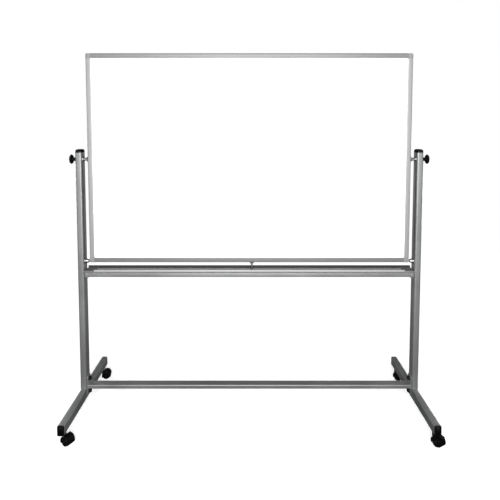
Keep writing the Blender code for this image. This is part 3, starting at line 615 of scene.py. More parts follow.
def spoke_network():
    """Ring of spokes in the plane square to Y, from one radius to another."""
    net = Network("spokes", Count=5, Inner=0.005, Outer=0.014, Width=0.0016, Depth=0.0016)
    both = net.math("ADD", net.given("Inner"), net.given("Outer"))
    ring = net.add("GeometryNodeMeshCircle", None, {
        "Vertices": net.given("Count"), "Radius": net.math("MULTIPLY", both, 0.5)})
    points = net.add("GeometryNodeMeshToPoints", None, {"Mesh": ring.outputs[0]})
    size = net.add("ShaderNodeCombineXYZ", None, {
        "X": net.math("SUBTRACT", net.given("Outer"), net.given("Inner")),
        "Y": net.given("Width"), "Z": net.given("Depth")})
    bar = net.add("GeometryNodeMeshCube", None, {
        "Size": size.outputs[0], "Vertices X": 3, "Vertices Y": 2, "Vertices Z": 2})
    index = net.add("GeometryNodeInputIndex").outputs[0]
    step = net.math("DIVIDE", 2 * math.pi, net.given("Count"))
    spin = net.add("ShaderNodeCombineXYZ", None, {"Z": net.math("MULTIPLY", index, step)})
    wheel = net.spread(points.outputs[0], bar.outputs["Mesh"], Rotation=net.turn(spin.outputs[0]))
    upright = net.add("GeometryNodeTransform", None, {"Geometry": wheel})
    upright.inputs["Rotation"].default_value = (math.pi / 2, 0, 0)
    net.close(net.spread(net.points(), upright.outputs[0]))
    return net


SCREWS = button_screw_network()
WELDS = weld_network()
RIBS = rib_network()
SPOKES = spoke_network()


# ---------------------------------------------------------------- posts and feet
def post_tube(side, sign):
    """Upright tube, open for the pivot bushing and the side catch."""
    low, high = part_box(f"post_{side}")
    centre = middle(f"post_{side}")
    width = high.x - low.x
    bm = box_tube("Z", (width, high.y - low.y), TUBE_CORNER, TUBE_WALL, (low.z, high.z),
                  (centre.x, 0, 0))
    face = centre.x - sign * width / 2
    cut = []
    for node, depth, radius in (("pivot_bushing", width, 0.0113),
                                ("side_catch_housing", TUBE_WALL, 0.0128)):
        ends = sorted((face - sign * 0.001, face + sign * (depth + 0.001)))
        cut.append(rod("X", radius, *ends, (0, 0, middle(f"{node}_{side}").z), 40))
    fitted(f"post_tube_{side}", shaped(bm, cut=cut), "paint", "stand", (f"post_{side}",))


def post_cap(side):
    """Domed cap over the post, with a fine shadow line where it meets the tube."""
    low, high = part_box(f"post_{side}")
    width, depth = high.x - low.x, high.y - low.y
    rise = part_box(f"post_cap_{side}")[1].z - high.z
    stages = [(0.0052, 0.0046, -PLUG_DEPTH), (0.0052, 0.0046, SEAM),
              (0.0012, TUBE_CORNER - 0.0006, SEAM), (0.0, TUBE_CORNER, SEAM + 0.0006),
              (0.0, TUBE_CORNER, CAP_FLANGE)]
    steps = 10
    for step in range(1, steps + 1):
        angle = math.pi / 2 * step / steps
        inset = CAP_ROUNDING * (1 - math.cos(angle))
        stages.append((2 * inset, TUBE_CORNER - 0.5 * inset,
                       CAP_FLANGE + (rise - CAP_FLANGE) * math.sin(angle)))
    sections = [(rounded(width - less, depth - less, corner), high.z + along)
                for less, corner, along in stages]
    bm = shifted(lofted("Z", sections), (middle(f"post_{side}").x, 0, 0))
    fitted(f"post_end_cap_{side}", bm, "black plastic", "stand", (f"post_cap_{side}",))


def foot_tube(side):
    low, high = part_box(f"foot_{side}")
    centre = middle(f"foot_{side}")
    bm = box_tube("Y", (high.x - low.x, high.z - low.z), FOOT_CORNER, TUBE_WALL, (low.y, high.y),
                  (centre.x, 0, centre.z))
    fitted(f"foot_tube_{side}", bm, "paint", "stand", (f"foot_{side}",))


def foot_cap(end, toward, side):
    """Cap with a low four-sided pyramid inside a narrow rounded rim."""
    low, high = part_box(f"foot_{side}")
    seat = low.y if toward < 0 else high.y
    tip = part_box(f"foot_cap_{end}_{side}")[0 if toward < 0 else 1].y
    rise = abs(tip - seat)
    width, height = high.x - low.x, high.z - low.z
    rim = FOOT_CAP_RIM
    stages = [(0.0052, 0.0036, -PLUG_DEPTH), (0.0052, 0.0036, SEAM),
              (0.0010, FOOT_CORNER - 0.0005, SEAM), (0.0, FOOT_CORNER, SEAM + 0.0005),
              (0.0, FOOT_CORNER, rim - 0.0006), (0.0004, FOOT_CORNER - 0.0002, rim - 0.0002),
              (0.0012, FOOT_CORNER - 0.0006, rim), (0.0048, 0.0026, rim),
              (0.0058, 0.0021, rim - 0.0004), (0.0068, 0.0016, rim)]
    outlines = [(rounded(width - less, height - less, corner), along)
                for less, corner, along in stages]
    outlines += [(rounded(0.0030, 0.0048, 0.0012), rise - 0.0004),
                 (rounded(0.0016, 0.0024, 0.0007), rise)]
    centre = middle(f"foot_{side}")
    bm = lofted("Y", [(outline, seat + toward * along) for outline, along in outlines])
    fitted(f"foot_end_cap_{end}_{side}", shifted(bm, (centre.x, 0, centre.z)), "black plastic",
           "stand", (f"foot_cap_{end}_{side}",))


# ---------------------------------------------------------------- crossbars
def weld(name, outline, along, level, **sizes):
    """Bead of weld round an outline at one place along X."""
    places = [set_out("X", u, v, along) + Vector((0, 0, level)) for u, v in outline]
    edges = [(index, (index + 1) % len(places)) for index in range(len(places))]
    fitted(name, WELDS.run(places, "paint", edges, **sizes), "paint", "stand")


def lower_crossbar():
    """Level tube with a plate at each end; a weld runs round it at both plates."""
    low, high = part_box("lower_crossbar")
    depth = high.y - low.y
    reach = high.x - PLATE
    bar = box_tube("X", (depth, BAR_HEIGHT), BAR_CORNER, BAR_WALL,
                   (-reach - 0.001, reach + 0.001), (0, 0, LOWER_BAR_LEVEL))
    fitted("lower_crossbar_tube", bar, "paint", "stand", ("lower_crossbar",))
    plate = rounded(depth, high.z - low.z, 0.010, 12)
    bead = rounded(depth - 0.0008, BAR_HEIGHT - 0.0008, BAR_CORNER - 0.0004, 6)
    for side, sign in SIDES.items():
        solid = slab("X", plate, sign * reach, sign * high.x, (0, 0, (high.z + low.z) / 2))
        fitted(f"crossbar_end_plate_{side}", shaped(solid, 0.0007), "paint", "stand")
        weld(f"lower_weld_bead_{side}", bead, sign * (reach - 0.0002), LOWER_BAR_LEVEL,
             Width=0.0017, Pitch=0.0010, Seed=5)


def upper_crossbar():
    """Level tube under the tray, welded into a block at each post."""
    low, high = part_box("upper_crossbar")
    depth = 2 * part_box("lower_crossbar")[1].y
    level = high.z - BAR_HEIGHT / 2
    reach = high.x - BLOCK_LENGTH
    bar = box_tube("X", (depth, BAR_HEIGHT), BAR_CORNER, BAR_WALL,
                   (-reach - 0.001, reach + 0.001), (0, 0, level))
    hole = rest_hole(level + 0.004, high.z + 0.002)
    fitted("upper_crossbar_tube", shaped(bar, cut=[hole]), "paint", "stand", ("upper_crossbar",))
    block = rounded(high.y - low.y, high.z - low.z, 0.004)
    bead = rounded(depth - 0.0012, BAR_HEIGHT - 0.0012, BAR_CORNER - 0.0006, 6)
    for side, sign in SIDES.items():
        solid = slab("X", block, sign * reach, sign * high.x, (0, 0, (high.z + low.z) / 2))
        fitted(f"crossbar_block_{side}", shaped(solid, 0.0010), "paint", "stand")
        weld(f"upper_weld_bead_{side}", bead, sign * (reach - 0.0002), level,
             Width=0.0010, Pitch=0.0007, Seed=9)


def plate_screws():
    """The four domed screws through the lower crossbar's end plates."""
    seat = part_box("lower_crossbar")[1].x - PLATE
    for side, sign in SIDES.items():
        nodes = (f"post_bolt_{side}", f"foot_bolt_{side}")
        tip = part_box(nodes[0])[0 if sign > 0 else 1].x
        places = [(sign * seat, 0, middle(node).z) for node in nodes]
        mesh = SCREWS.run(places, "black plastic", Radius=0.0095, Height=abs(abs(tip) - seat),
                          Socket=0.0032, Turn=(0.0, -sign * math.pi / 2, 0.0))
        fitted(f"plate_screws_{side}", mesh, "black plastic", "stand", nodes)


# ---------------------------------------------------------------- pen tray
def rest_hole(low, high):
    """Cutter for the hole that takes the centre rest's collar."""
    rest = middle("centre_rest_bushing")
    return rod("Z", REST_HOLE, low, high, (rest.x, rest.y, 0), 36)


def tray_floor():
    """Extruded floor with shallow grooves along it, on two legs over the crossbar."""
    low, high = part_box("pen_tray")
    floor = high.z
    under = floor - TRAY_FLOOR
    section = [(low.y, floor)]
    grooves = 7
    step = (high.y - low.y) / (grooves + 1)
    for index in range(1, grooves + 1):
        centre = low.y + step * index
        section += [(centre - 0.0011, floor), (centre - 0.0007, floor - 0.0005),
                    (centre + 0.0007, floor - 0.0005), (centre + 0.0011, floor)]
    section += [(high.y, floor), (high.y, under)]
    for inner, outer in ((0.0120, 0.0095), (-0.0095, -0.0120)):
        section += [(inner, under), (inner, low.z), (outer, low.z), (outer, under)]
    section.append((low.y, under))
    bm = slab("X", section, low.x, high.x)
    hole = rest_hole(under - 0.002, floor + 0.002)
    fitted("tray_floor", shaped(bm, cut=[hole]), "tray", "stand", ("pen_tray",))


def tray_lip():
    """Front wall of the tray with a full round on top and a fine drip groove."""
    low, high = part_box("tray_front_lip")
    radius = (high.y - low.y) / 2
    shoulder = high.z - radius
    section = [(low.y + 0.0008, low.z), (low.y + 0.0002, low.z + 0.0003),
               (low.y, low.z + 0.0010), (low.y, shoulder - 0.0016),
               (low.y + 0.0003, shoulder - 0.0013), (low.y + 0.0003, shoulder - 0.0009),
               (low.y, shoulder - 0.0006)]
    steps = 14
    for step in range(steps + 1):
        angle = math.pi * (1 - step / steps)
        section.append((low.y + radius * (1 + math.cos(angle)),
                        high.z - radius * (1 - math.sin(angle))))
    section.append((high.y, low.z))
    fitted("tray_front_wall", slab("X", section, low.x, high.x), "tray", "stand",
           ("tray_front_lip",))


def tray_strip():
    """Rubber strip with rounded top edges and two fine beads on its face."""
    low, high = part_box("tray_buffer_strip")
    face = low.y + 0.0004
    half = (high.y - low.y) / 2
    section = [(face, low.z), (face, low.z + 0.0060)]
    for centre in (low.z + 0.0078, low.z + 0.0106):
        for step in range(5):
            angle = math.pi / 4 * (step - 2)
            section.append((face - 0.0004 * math.cos(angle), centre + 0.0009 * math.sin(angle)))
    for step in range(7):
        angle = math.pi * (1 - step / 6)
        section.append((low.y + half + (half - 0.0004) * math.cos(angle),
                        high.z - 0.0012 + 0.0012 * math.sin(angle)))
    section += [(high.y, high.z - 0.0016), (high.y, low.z)]
    fitted("tray_rubber_strip", slab("X", section, low.x, high.x), "rubber", "stand",
           ("tray_buffer_strip",))


def tray_end(side):
    """Moulded end of the tray, rounded at its front edge, with its screw in a shallow recess."""
    node = f"tray_end_cap_{side}"
    low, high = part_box(node)
    radius = 0.0030
    section = [(low.y + 0.0014, low.z), (low.y, low.z + 0.0015), (low.y, high.z - radius)]
    for step in range(1, 6):
        angle = math.pi / 2 * step / 5
        section.append((low.y + radius * (1 - math.cos(angle)),
                        high.z - radius * (1 - math.sin(angle))))
    section += [(high.y - 0.0008, high.z), (high.y, high.z - 0.0008), (high.y, low.z)]
    centre = ((low.x + high.x) / 2, 0.004, 0)
    recess = turned("Z", [(0, high.z - 0.0012), (0.0058, high.z - 0.0012),
                          (0.0062, high.z + 0.002), (0, high.z + 0.002)], centre, 36)
    solid = slab("X", section, low.x, high.x)
    fitted(f"tray_end_{side}", shaped(solid, 0.0006, cut=[recess]), "end plastic", "stand",
           (node,))
    mesh = SCREWS.run([(centre[0], centre[1], high.z - 0.0014)], "steel", Radius=0.0050,
                      Height=0.0013, Socket=0.0018, Turn=(0.0, 0.0, 0.0))
    fitted(f"tray_end_screw_{side}", mesh, "steel", "stand")


# ---------------------------------------------------------------- turned fittings
def side_turned(profile, origin, sign, level, segments, hollow=False):
    """Profile turned about a level line along X; it runs from origin towards one side."""
    placed = [(radius, origin + sign * along) for radius, along in profile]
    return turned("X", placed, (0, 0, level), segments, hollow)


def pivot_fittings(side, sign):
    """Bushing in the post, and the shaft with its flange on the board's side rail."""
    low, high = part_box(f"post_{side}")
    width = high.x - low.x
    inner_face, outer_face = (low.x, high.x) if sign > 0 else (high.x, -low.x)
    level = middle(f"pivot_bushing_{side}").z
    bore = 0.0073
    sleeve = [(bore, -0.0033), (0.0128, -0.0033), (0.0136, -0.0031), (0.0142, -0.0026),
              (0.0145, -0.0018), (0.0145, -0.0003), (0.0110, -0.0003), (0.0110, width + 0.0004),
              (0.0106, width + 0.0008), (bore, width + 0.0008)]
    fitted(f"pivot_sleeve_{side}", side_turned(sleeve, inner_face, sign, level, 56, True),
           "steel", "stand", (f"pivot_bushing_{side}",))
    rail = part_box("frame_rail_right")[1].x + 0.0003
    tip = max(abs(corner.x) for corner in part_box(f"pivot_shaft_{side}"))
    journal = outer_face + 0.0020
    shaft = [(0, rail), (0.0116, rail), (0.0120, rail + 0.0004), (0.0120, rail + 0.0018),
             (0.0114, rail + 0.0027), (0.0106, rail + 0.0030), (0.0076, rail + 0.0030),
             (0.0070, rail + 0.0036), (0.0070, journal - 0.0005), (0.0066, journal),
             (0.0050, journal), (0.0050, tip - 0.0008), (0.0042, tip), (0, tip)]
    fitted(f"pivot_spindle_{side}", side_turned(shaft, 0, sign, level, 48), "steel", "board",
           (f"pivot_shaft_{side}",))


def side_catch(side, sign):
    """Flanged cup in the post's inner face and the bullet nose that it holds."""
    low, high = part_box(f"post_{side}")
    face = low.x if sign > 0 else high.x
    level = middle(f"side_catch_housing_{side}").z
    cup = [(0, 0.0210), (0.0113, 0.0210), (0.0113, -0.0021), (0.0102, -0.0021),
           (0.0102, -0.0031), (0.0104, -0.0033), (0.0132, -0.0033), (0.0139, -0.0030),
           (0.0143, -0.0025), (0.0145, -0.0018), (0.0145, -0.0003), (0.0125, -0.0003),
           (0.0125, 0.0225), (0, 0.0225)]
    fitted(f"catch_cup_{side}", side_turned(cup, face, sign, level, 56), "steel", "stand",
           (f"side_catch_housing_{side}",))
    tip = min(abs(corner.x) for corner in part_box(f"side_catch_nose_{side}"))
    reach = abs(face) - tip
    nose = [(0, -reach), (0.0014, -reach + 0.0001), (0.0026, -reach + 0.0005),
            (0.0040, -reach + 0.0013), (0.0050, -reach + 0.0023), (0.0060, -reach + 0.0038),
            (0.0078, -reach + 0.0066), (0.0092, -reach + 0.0090), (0.0098, -0.0058),
            (0.0099, -0.0050), (0.0099, -0.0018), (0.0110, -0.0018), (0.0110, 0.0055),
            (0.0105, 0.0060), (0, 0.0060)]
    fitted(f"catch_nose_{side}", side_turned(nose, face, sign, level, 56), "steel",
           f"side_catch_{side}", (f"side_catch_nose_{side}",))


def catch_spring(side, sign):
    """Coil behind a catch's nose, at its pressed length, which leaves the nose its stroke."""
    low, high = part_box(f"side_catch_spring_{side}")
    reach = (high.z - low.z) / 2 - SPRING_WIRE
    level = (high.z + low.z) / 2
    seat = max(abs(low.x), abs(high.x)) - SPRING_WIRE
    front = min(abs(low.x), abs(high.x)) + CATCH_STROKE + SPRING_WIRE
    turns, steps, corners = 4, 28, 8
    bm = bmesh.new()
    rings = []
    for step in range(turns * steps + 1):
        angle = 2 * math.pi * step / steps
        along = front + (seat - front) * step / (turns * steps)
        ring = []
        for corner in range(corners):
            tilt = 2 * math.pi * corner / corners
            distance = reach + SPRING_WIRE * math.cos(tilt)
            ring.append(bm.verts.new((sign * (along + SPRING_WIRE * math.sin(tilt)),
                                      distance * math.cos(angle),
                                      level + distance * math.sin(angle))))
        rings.append(ring)
    for lower, upper in zip(rings, rings[1:]):
        for corner in range(corners):
            after = (corner + 1) % corners
            bm.faces.new((lower[corner], lower[after], upper[after], upper[corner]))
    bm.faces.new(rings[0])
    bm.faces.new(rings[-1])
    bmesh.ops.recalc_face_normals(bm, faces=bm.faces)
    fitted(f"catch_spring_{side}", bm, "spring", "stand", (f"side_catch_spring_{side}",))


def centre_rest():
    """Flared steel rest and the plastic collar it slides in."""
    collar_low, collar_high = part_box("centre_rest_bushing")
    place = middle("centre_rest_bushing")
    centre = (place.x, place.y, 0)
    flange = collar_high.z - 0.0018
    collar = [(0.0040, collar_low.z), (0.0070, collar_low.z), (0.0070, flange),
              (0.0095, flange), (0.0095, flange + 0.0008), (0.0092, flange + 0.0014),
              (0.0085, flange + 0.0018), (0.0044, flange + 0.0018), (0.0040, flange + 0.0014)]
    fitted("rest_collar", turned("Z", collar, centre, 44, hollow=True), "grey plastic", "stand",
           ("centre_rest_bushing",))
    low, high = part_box("centre_rest")
    flare = high.z - 0.0100
    stop = collar_low.z - 0.0003
    rest = [(0, low.z), (0.0025, low.z), (0.0025, stop - 0.0020), (0.0060, stop - 0.0020),
            (0.0060, stop), (0.0037, stop), (0.0037, flare), (0.0041, flare + 0.0012),
            (0.0050, flare + 0.0026), (0.0070, flare + 0.0048), (0.0098, flare + 0.0070),
            (0.0113, flare + 0.0079), (0.0119, flare + 0.0086), (0.0120, flare + 0.0091),
            (0.0118, flare + 0.0096), (0.0112, high.z), (0, high.z)]
    fitted("rest_pin", turned("Z", rest, centre, 48), "steel", "centre_rest", ("centre_rest",))


def hand_knob(side, sign):
    """Eight-lobed hand knob with eased lobes, a hub, and a disc set into its face."""
    low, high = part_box(f"clamp_knob_{side}")
    radius = (high.z - low.z) / 2
    level = middle(f"clamp_knob_{side}").z
    start, end = sorted((abs(low.x), abs(high.x)))
    rim = end - 0.0100
    lobes = 8
    count = lobes * 16

    def lobed(inset, depth):
        points = []
        for step in range(count):
            angle = 2 * math.pi * step / count
            reach = radius - inset - depth * (0.5 - 0.5 * math.cos(lobes * angle)) ** 0.8
            points.append((reach * math.cos(angle), reach * math.sin(angle)))
        return points

    stages = [(0.0130, 0.0002, rim + 0.0002), (0.0040, 0.0014, rim),
              (0.0018, 0.0020, rim + 0.0002), (0.0006, 0.0023, rim + 0.0008),
              (0.0, 0.0024, rim + 0.0018), (0.0, 0.0024, end - 0.0036),
              (0.0005, 0.0023, end - 0.0025), (0.0016, 0.0020, end - 0.0016),
              (0.0034, 0.0014, end - 0.0009), (0.0060, 0.0007, end - 0.0003),
              (0.0086, 0.0002, end), (0.0096, 0.0, end), (0.0100, 0.0, end - 0.0005),
              (0.0108, 0.0, end - 0.0005), (0.0112, 0.0, end - 0.0001), (0.0180, 0.0, end)]
    bm = lofted("X", [(lobed(inset, depth), sign * along) for inset, depth, along in stages])
    hub = side_turned([(0, start), (0.0080, start), (0.0085, start + 0.0005),
                       (0.0090, rim + 0.0030), (0, rim + 0.0030)], 0, sign, level, 40)
    bore = rod("X", 0.0053, sign * (start - 0.002), sign * (end - 0.0045), (0, 0, level), 32)
    fitted(f"hand_knob_{side}", shaped(shifted(bm, (0, 0, level)), joined=[hub], cut=[bore]),
           "black plastic", f"knob_{side}", (f"clamp_knob_{side}",))


# ---------------------------------------------------------------- the board
def rail_profile(depth, face):
    """Crowned frame section as (through, out), open at its inner side for the panel's edge."""
    half = depth / 2
    radius = 0.0050
    steps = 8
    quarter = [(half - radius + radius * math.cos(math.pi / 2 * step / steps),
                face - radius + radius * math.sin(math.pi / 2 * step / steps))
               for step in range(steps + 1)]
    outer = quarter + [(-through, out) for through, out in quarter[::-1]]
    line = 0.0052
    front = [(-half, line + 0.0006), (-half + 0.0003, line + 0.0003),
             (-half + 0.0003, line - 0.0003), (-half, line - 0.0006), (-half, 0.0010),
             (-half + 0.0003, 0.0003), (-half + 0.0010, 0.0)]
    slot = [(-SLOT_HALF, 0.0), (-SLOT_HALF, SLOT_DEPTH), (SLOT_HALF, SLOT_DEPTH),
            (SLOT_HALF, 0.0)]
    back = [(-through, out) for through, out in front[::-1]]
    return outer + front + slot + back


def frame_rails():
    low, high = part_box("frame_rail_top")
    profile = rail_profile(2 * high.y, high.z - low.z)
    for name, sign in (("top", 1), ("bottom", -1)):
        low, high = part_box(f"frame_rail_{name}")
        inner = low.z if sign > 0 else high.z
        section = [(through, inner + sign * out) for through, out in profile]
        # Level rails take the aluminium painted darker, as painted shade.
        fitted(f"board_rail_{name}", slab("X", section, low.x, high.x), "shade-painted level rail", "board",
               (f"frame_rail_{name}",))
    for name, sign in SIDES.items():
        low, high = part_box(f"frame_rail_{name}")
        inner = low.x if sign > 0 else high.x
        section = [(inner + sign * out, through) for through, out in profile]
        # Upright rails take the same aluminium painted lighter, as painted light.
        fitted(f"board_rail_{name}", slab("Z", section, low.z, high.z), "light-painted upright rail", "board",
               (f"frame_rail_{name}",))


def frame_corner(name, sign_x, sign_z):
    """Moulded corner with a rounded outer corner and eased edges, slotted for the panel."""
    node = f"frame_corner_{name}"
    low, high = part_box(node)
    centre = middle(node)
    side = high.x - low.x
    half = side / 2
    radius = 0.0060
    outline = [(-half, -half), (half, -half)]
    for step in range(11):
        angle = math.pi / 2 * step / 10
        outline.append((half - radius + radius * math.cos(angle),
                        half - radius + radius * math.sin(angle)))
    outline.append((-half, half))
    bm = slab("Y", [(sign_x * u, sign_z * v) for u, v in outline], low.y, high.y,
              (centre.x, 0, centre.z))
    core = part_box("board_core")[1]
    board_level = middle("board_core").z
    reach_x = sign_x * (core.x + 0.0003)
    reach_z = centre.z + sign_z * (core.z - board_level + 0.0003 - abs(centre.z - board_level))
    inner_x, inner_z = centre.x - sign_x * side, centre.z - sign_z * side
    square = [(inner_x, inner_z), (reach_x, inner_z), (reach_x, reach_z), (inner_x, reach_z)]
    slot = slab("Y", square, -SLOT_HALF, SLOT_HALF)
    fitted(f"board_corner_{name}", shaped(bm, 0.0018, cut=[slot], ease_steps=4), "grey plastic",
           "board", (node,))


def panel():
    """The panel's core and writing sheets keep their frame shapes."""
    for node, finish in (("board_core", "fibre"), ("writing_sheet_front", "enamel"),
                         ("writing_sheet_back", "enamel")):
        for slot in frame["nodes"][node].material_slots:
            slot.material = FINISHES[finish]


# ---------------------------------------------------------------- casters
def caster_frame(place):
    """Placement of a caster: stem axis at the floor, wheels trailing along local X."""
    joints = {joint["name"]: joint for joint in frame["joints"]}
    roll = joints[f"caster_{place}_roll"]
    swivel = joints[f"caster_{place}_swivel"]
    axis = roll["axis"]
    yaw = math.atan2(-axis[0], axis[1])
    stem = Vector((swivel["pos_m"][0], swivel["pos_m"][1], 0))
    hub = Vector(roll["pos_m"])
    trail = (Vector((hub.x, hub.y, 0)) - stem).length
    return Matrix.Translation(stem) @ Matrix.Rotation(yaw, 4, "Z"), trail, hub.z


def arc_outline(centre, radius, first, last, steps):
    points = []
    for step in range(steps + 1):
        angle = math.radians(first + (last - first) * step / steps)
        points.append((centre[0] + radius * math.cos(angle), centre[1] + radius * math.sin(angle)))
    return points


def caster_hood(place, trail, hub_z, matrix):
    """Hood over both wheels, with its web, stem socket and the pedal's ears."""
    half, top = 0.0198, 0.0462
    hub = (trail, 0, hub_z)
    socket = [(0, 0.026), (0.0082, 0.028), (0.0095, 0.034), (0.0095, top - 0.0012),
              (0.0092, top - 0.0004), (0.0085, top), (0, top)]
    joined = [turned("Z", socket, (0, 0, 0), 44)]
    if "front" in place:
        ear = arc_outline((PEDAL_PIN_X, PEDAL_PIN_Z - 0.0008), 0.0030, 0, 180, 16)
        ear += [(PEDAL_PIN_X - 0.0030, 0.0425), (PEDAL_PIN_X + 0.0030, 0.0425)]
        joined += [slab("Y", ear, sign * 0.0125, sign * 0.0150) for sign in (-1, 1)]
        joined.append(rod("Y", 0.0009, -0.0135, 0.0135, (PEDAL_PIN_X, 0, PEDAL_PIN_Z), 20))
    cut = [rod("Y", 0.0214, *sorted((sign * 0.0045, sign * 0.0300)), hub, 72) for sign in (-1, 1)]
    cut.append(rod("Y", 0.0028, -0.010, 0.010, hub, 24))
    cut.append(rod("Z", 0.0048, 0.0362, 0.0600, (0, 0, 0), 32))
    shell = slab("Y", arc_outline((trail, hub_z), 0.0236, -28, 205, 64), -half, half)
    fitted(f"caster_hood_{place}", shaped(shell, 0.0012, joined, cut), "black plastic",
           f"caster_{place}", (f"caster_{place}_hood",), matrix)


def caster_wheels(place, trail, hub_z, matrix):
    """Twin wheels on their axle: grooved tread, dished sides with spokes and a hub cap."""
    radius, half, web = 0.0200, 0.0183, 0.0052
    side = [(0, half - 0.0004), (0.0030, half - 0.0005), (0.0046, half - 0.0009),
            (0.0054, half - 0.0016), (0.0058, half - 0.0026), (0.0064, half - 0.0034),
            (0.0140, half - 0.0034), (0.0148, half - 0.0028), (0.0153, half - 0.0006),
            (0.0158, half), (radius - 0.0022, half), (radius - 0.0010, half - 0.0004),
            (radius - 0.0002, half - 0.0012), (radius, half - 0.0022)]
    for groove in (half - 0.0050, half - 0.0086):
        side += [(radius, groove + 0.0005), (radius - 0.0004, groove + 0.0002),
                 (radius - 0.0004, groove - 0.0002), (radius, groove - 0.0005)]
    side += [(radius, web + 0.0012), (radius - 0.0010, web), (0.0025, web)]
    profile = side + [(reach, -along) for reach, along in side[::-1]]
    fitted(f"caster_wheels_{place}", turned("Y", profile, (trail, 0, hub_z), 64), "tread",
           f"wheels_{place}", (f"caster_{place}_wheels",), matrix)
    centres = [(trail, sign * (half - 0.0026), hub_z) for sign in (-1, 1)]
    spokes = SPOKES.run(centres, "black plastic", Count=6, Inner=0.0052, Outer=0.0146,
                        Width=0.0018, Depth=0.0018)
    fitted(f"caster_spokes_{place}", spokes, "black plastic", f"wheels_{place}", (), matrix)


def caster_stem(place, matrix):
    low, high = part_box(f"caster_{place}_stem")
    collar = 0.0465
    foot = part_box("foot_left")[0].z - 0.0003
    profile = [(0, low.z), (0.0037, low.z), (0.0045, low.z + 0.0010), (0.0045, collar),
               (0.0079, collar), (0.0085, collar + 0.0005), (0.0085, foot - 0.0012),
               (0.0080, foot - 0.0004), (0.0072, foot), (0.0045, foot), (0.0045, high.z),
               (0, high.z)]
    fitted(f"caster_pin_{place}", turned("Z", profile, (0, 0, 0), 40), "steel", "stand",
           (f"caster_{place}_stem",), matrix)


def brake_pedal(place, matrix):
    """Curved pedal with grip ribs across it, hinged between the hood's ears."""
    top = [(-0.0021, 0.0002), (-0.0019, 0.0012), (-0.0010, 0.0020), (0.0010, 0.0024),
           (0.0040, 0.0027), (0.0090, 0.0028), (0.0150, 0.0027), (0.0205, 0.0021),
           (0.0250, 0.0012), (0.0260, 0.0006), (0.0261, -0.0001), (0.0255, -0.0005)]
    under = [(0.0200, 0.0003), (0.0150, 0.0010), (0.0090, 0.0010), (0.0060, 0.0008),
             (0.0036, -0.0004), (0.0018, -0.0019), (0.0, -0.0021), (-0.0014, -0.0017)]
    outline = [(PEDAL_PIN_X + across, PEDAL_PIN_Z + up) for across, up in top + under]
    bore = rod("Y", 0.0012, -0.020, 0.020, (PEDAL_PIN_X, 0, PEDAL_PIN_Z), 20)
    fitted(f"brake_pedal_{place}", shaped(slab("Y", outline, -0.0122, 0.0122), 0.0004, cut=[bore]),
           "black plastic", f"brake_{place}", (f"caster_{place}_brake",), matrix)
    places = []
    for index in range(5):
        drop = 0.000036 * index * index
        places.append((PEDAL_PIN_X + 0.0065 + 0.0030 * index, 0, PEDAL_PIN_Z + 0.00285 - drop))
    ribs = RIBS.run(places, "black plastic", Size=(0.0009, 0.0190, 0.0006), Turn=0.0, Ease=0.4)
    fitted(f"pedal_ribs_{place}", ribs, "black plastic", f"brake_{place}", (), matrix)


def casters():
    for place in ("front_left", "front_right", "rear_left", "rear_right"):
        matrix, trail, hub_z = caster_frame(place)
        caster_hood(place, trail, hub_z, matrix)
        caster_wheels(place, trail, hub_z, matrix)
        caster_stem(place, matrix)
        if "front" in place:
            brake_pedal(place, matrix)


# ---------------------------------------------------------------- floor, light and camera
def floor():
    """Wide pale floor that is white far away, with soft shadows under the stand."""
    near, white = 0.9, 1.9          # distances between which the floor turns white
    bm = bmesh.new()
    bmesh.ops.create_grid(bm, x_segments=1, y_segments=1, size=30.0)
    obj = helper(bm, "floor")
    paint = Finish("pale floor", specular=0.0)
    source = Channel(paint, paint.add("ShaderNodeTexCoord").outputs["Object"])
    reach = Channel(paint, paint.add("ShaderNodeVectorMath", {"operation": "LENGTH"},
                                     {0: source}).outputs["Value"])
    far = paint.between(reach, 0.0, 1.0, near, white)
    paint.feed("Base Color", paint.blend(far, grey(0.80), grey(0.10)))
    paint.feed("Emission Color", paint.blend(far, grey(FLOOR_GLOW), grey(1.0)))
    paint.shader.inputs["Emission Strength"].default_value = 1.0
    paint.shader.inputs["Roughness"].default_value = 0.9
    obj.data.materials.append(paint.material)
    obj.visible_diffuse = False
    obj.visible_glossy = False


def area_light(name, place, aim, size, power):
    data = bpy.data.lights.new(name, "AREA")
    data.shape = "RECTANGLE"
    data.size, data.size_y = size
    data.energy = power
    lamp = bpy.data.objects.new(name, data)
    bpy.context.scene.collection.objects.link(lamp)
    lamp.location = place
    lamp.rotation_euler = (Vector(aim) - Vector(place)).to_track_quat("-Z", "Y").to_euler()


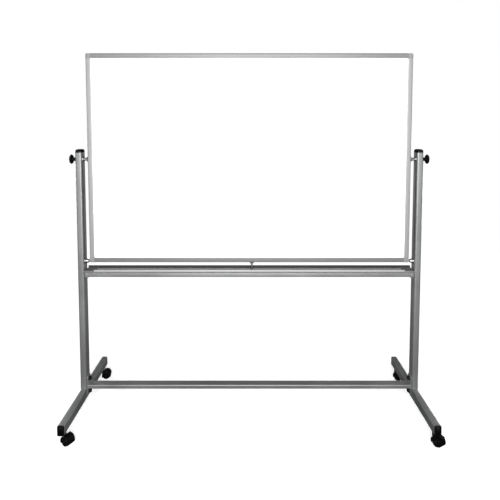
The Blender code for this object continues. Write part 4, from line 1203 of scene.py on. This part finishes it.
def surroundings():
    """White backdrop for the camera; a dim studio, lighter overhead, for everything else."""
    world = bpy.data.worlds.new("studio")
    bpy.context.scene.world = world
    world.use_nodes = True
    nodes, links = world.node_tree.nodes, world.node_tree.links
    nodes.clear()
    seen = nodes.new("ShaderNodeLightPath")
    way = nodes.new("ShaderNodeTexCoord")
    split = nodes.new("ShaderNodeSeparateXYZ")
    links.new(way.outputs["Generated"], split.inputs[0])
    ramp = nodes.new("ShaderNodeValToRGB")
    stops = ramp.color_ramp.elements
    for stop, position, level in ((stops[0], 0.0, STUDIO_SIDE), (stops[1], 1.0, STUDIO_TOP)):
        stop.position = position
        stop.color = (*grey(level), 1)
    links.new(split.outputs["Z"], ramp.inputs[0])
    pick = nodes.new("ShaderNodeMix")
    pick.data_type = "RGBA"
    links.new(seen.outputs["Is Camera Ray"], pick.inputs["Factor"])
    links.new(ramp.outputs[0], pick.inputs[6])
    pick.inputs[7].default_value = (1, 1, 1, 1)
    shade = nodes.new("ShaderNodeBackground")
    links.new(pick.outputs[2], shade.inputs["Color"])
    out = nodes.new("ShaderNodeOutputWorld")
    links.new(shade.outputs[0], out.inputs[0])


def camera():
    data = bpy.data.cameras.new("camera")
    data.sensor_width = 36.0
    data.lens = CAMERA_LENS
    data.shift_x, data.shift_y = CAMERA_SHIFT
    data.clip_end = 100.0
    obj = bpy.data.objects.new("camera", data)
    bpy.context.scene.collection.objects.link(obj)
    obj.location = CAMERA_PLACE
    obj.rotation_euler = (CAMERA_TILT, 0, 0)
    bpy.context.scene.camera = obj


def build():
    for side, sign in SIDES.items():
        post_tube(side, sign)
        post_cap(side)
        foot_tube(side)
        foot_cap("front", -1, side)
        foot_cap("rear", 1, side)
        tray_end(side)
        pivot_fittings(side, sign)
        side_catch(side, sign)
        catch_spring(side, sign)
        hand_knob(side, sign)
    lower_crossbar()
    upper_crossbar()
    plate_screws()
    tray_floor()
    tray_lip()
    tray_strip()
    centre_rest()
    frame_rails()
    for name, sign_x, sign_z in (("top_left", -1, 1), ("top_right", 1, 1),
                                 ("bottom_left", -1, -1), ("bottom_right", 1, -1)):
        frame_corner(name, sign_x, sign_z)
    panel()
    casters()
    floor()
    surroundings()
    area_light("key softbox", place=(0.0, -3.0, 1.9), aim=(0.0, 0.0, 1.3), size=(2.4, 1.5),
               power=155)
    area_light("low softbox", place=(0.0, -2.7, 0.9), aim=(0.0, 0.0, 0.55), size=(2.6, 0.9),
               power=45)
    for side, sign in SIDES.items():
        area_light(f"rear {side} softbox", place=(sign * 3.1, 2.3, 0.8), aim=(0.0, 0.0, 1.1),
                   size=(1.0, 1.2), power=60)
    camera()
    bpy.context.scene.view_settings.view_transform = "Standard"


build()
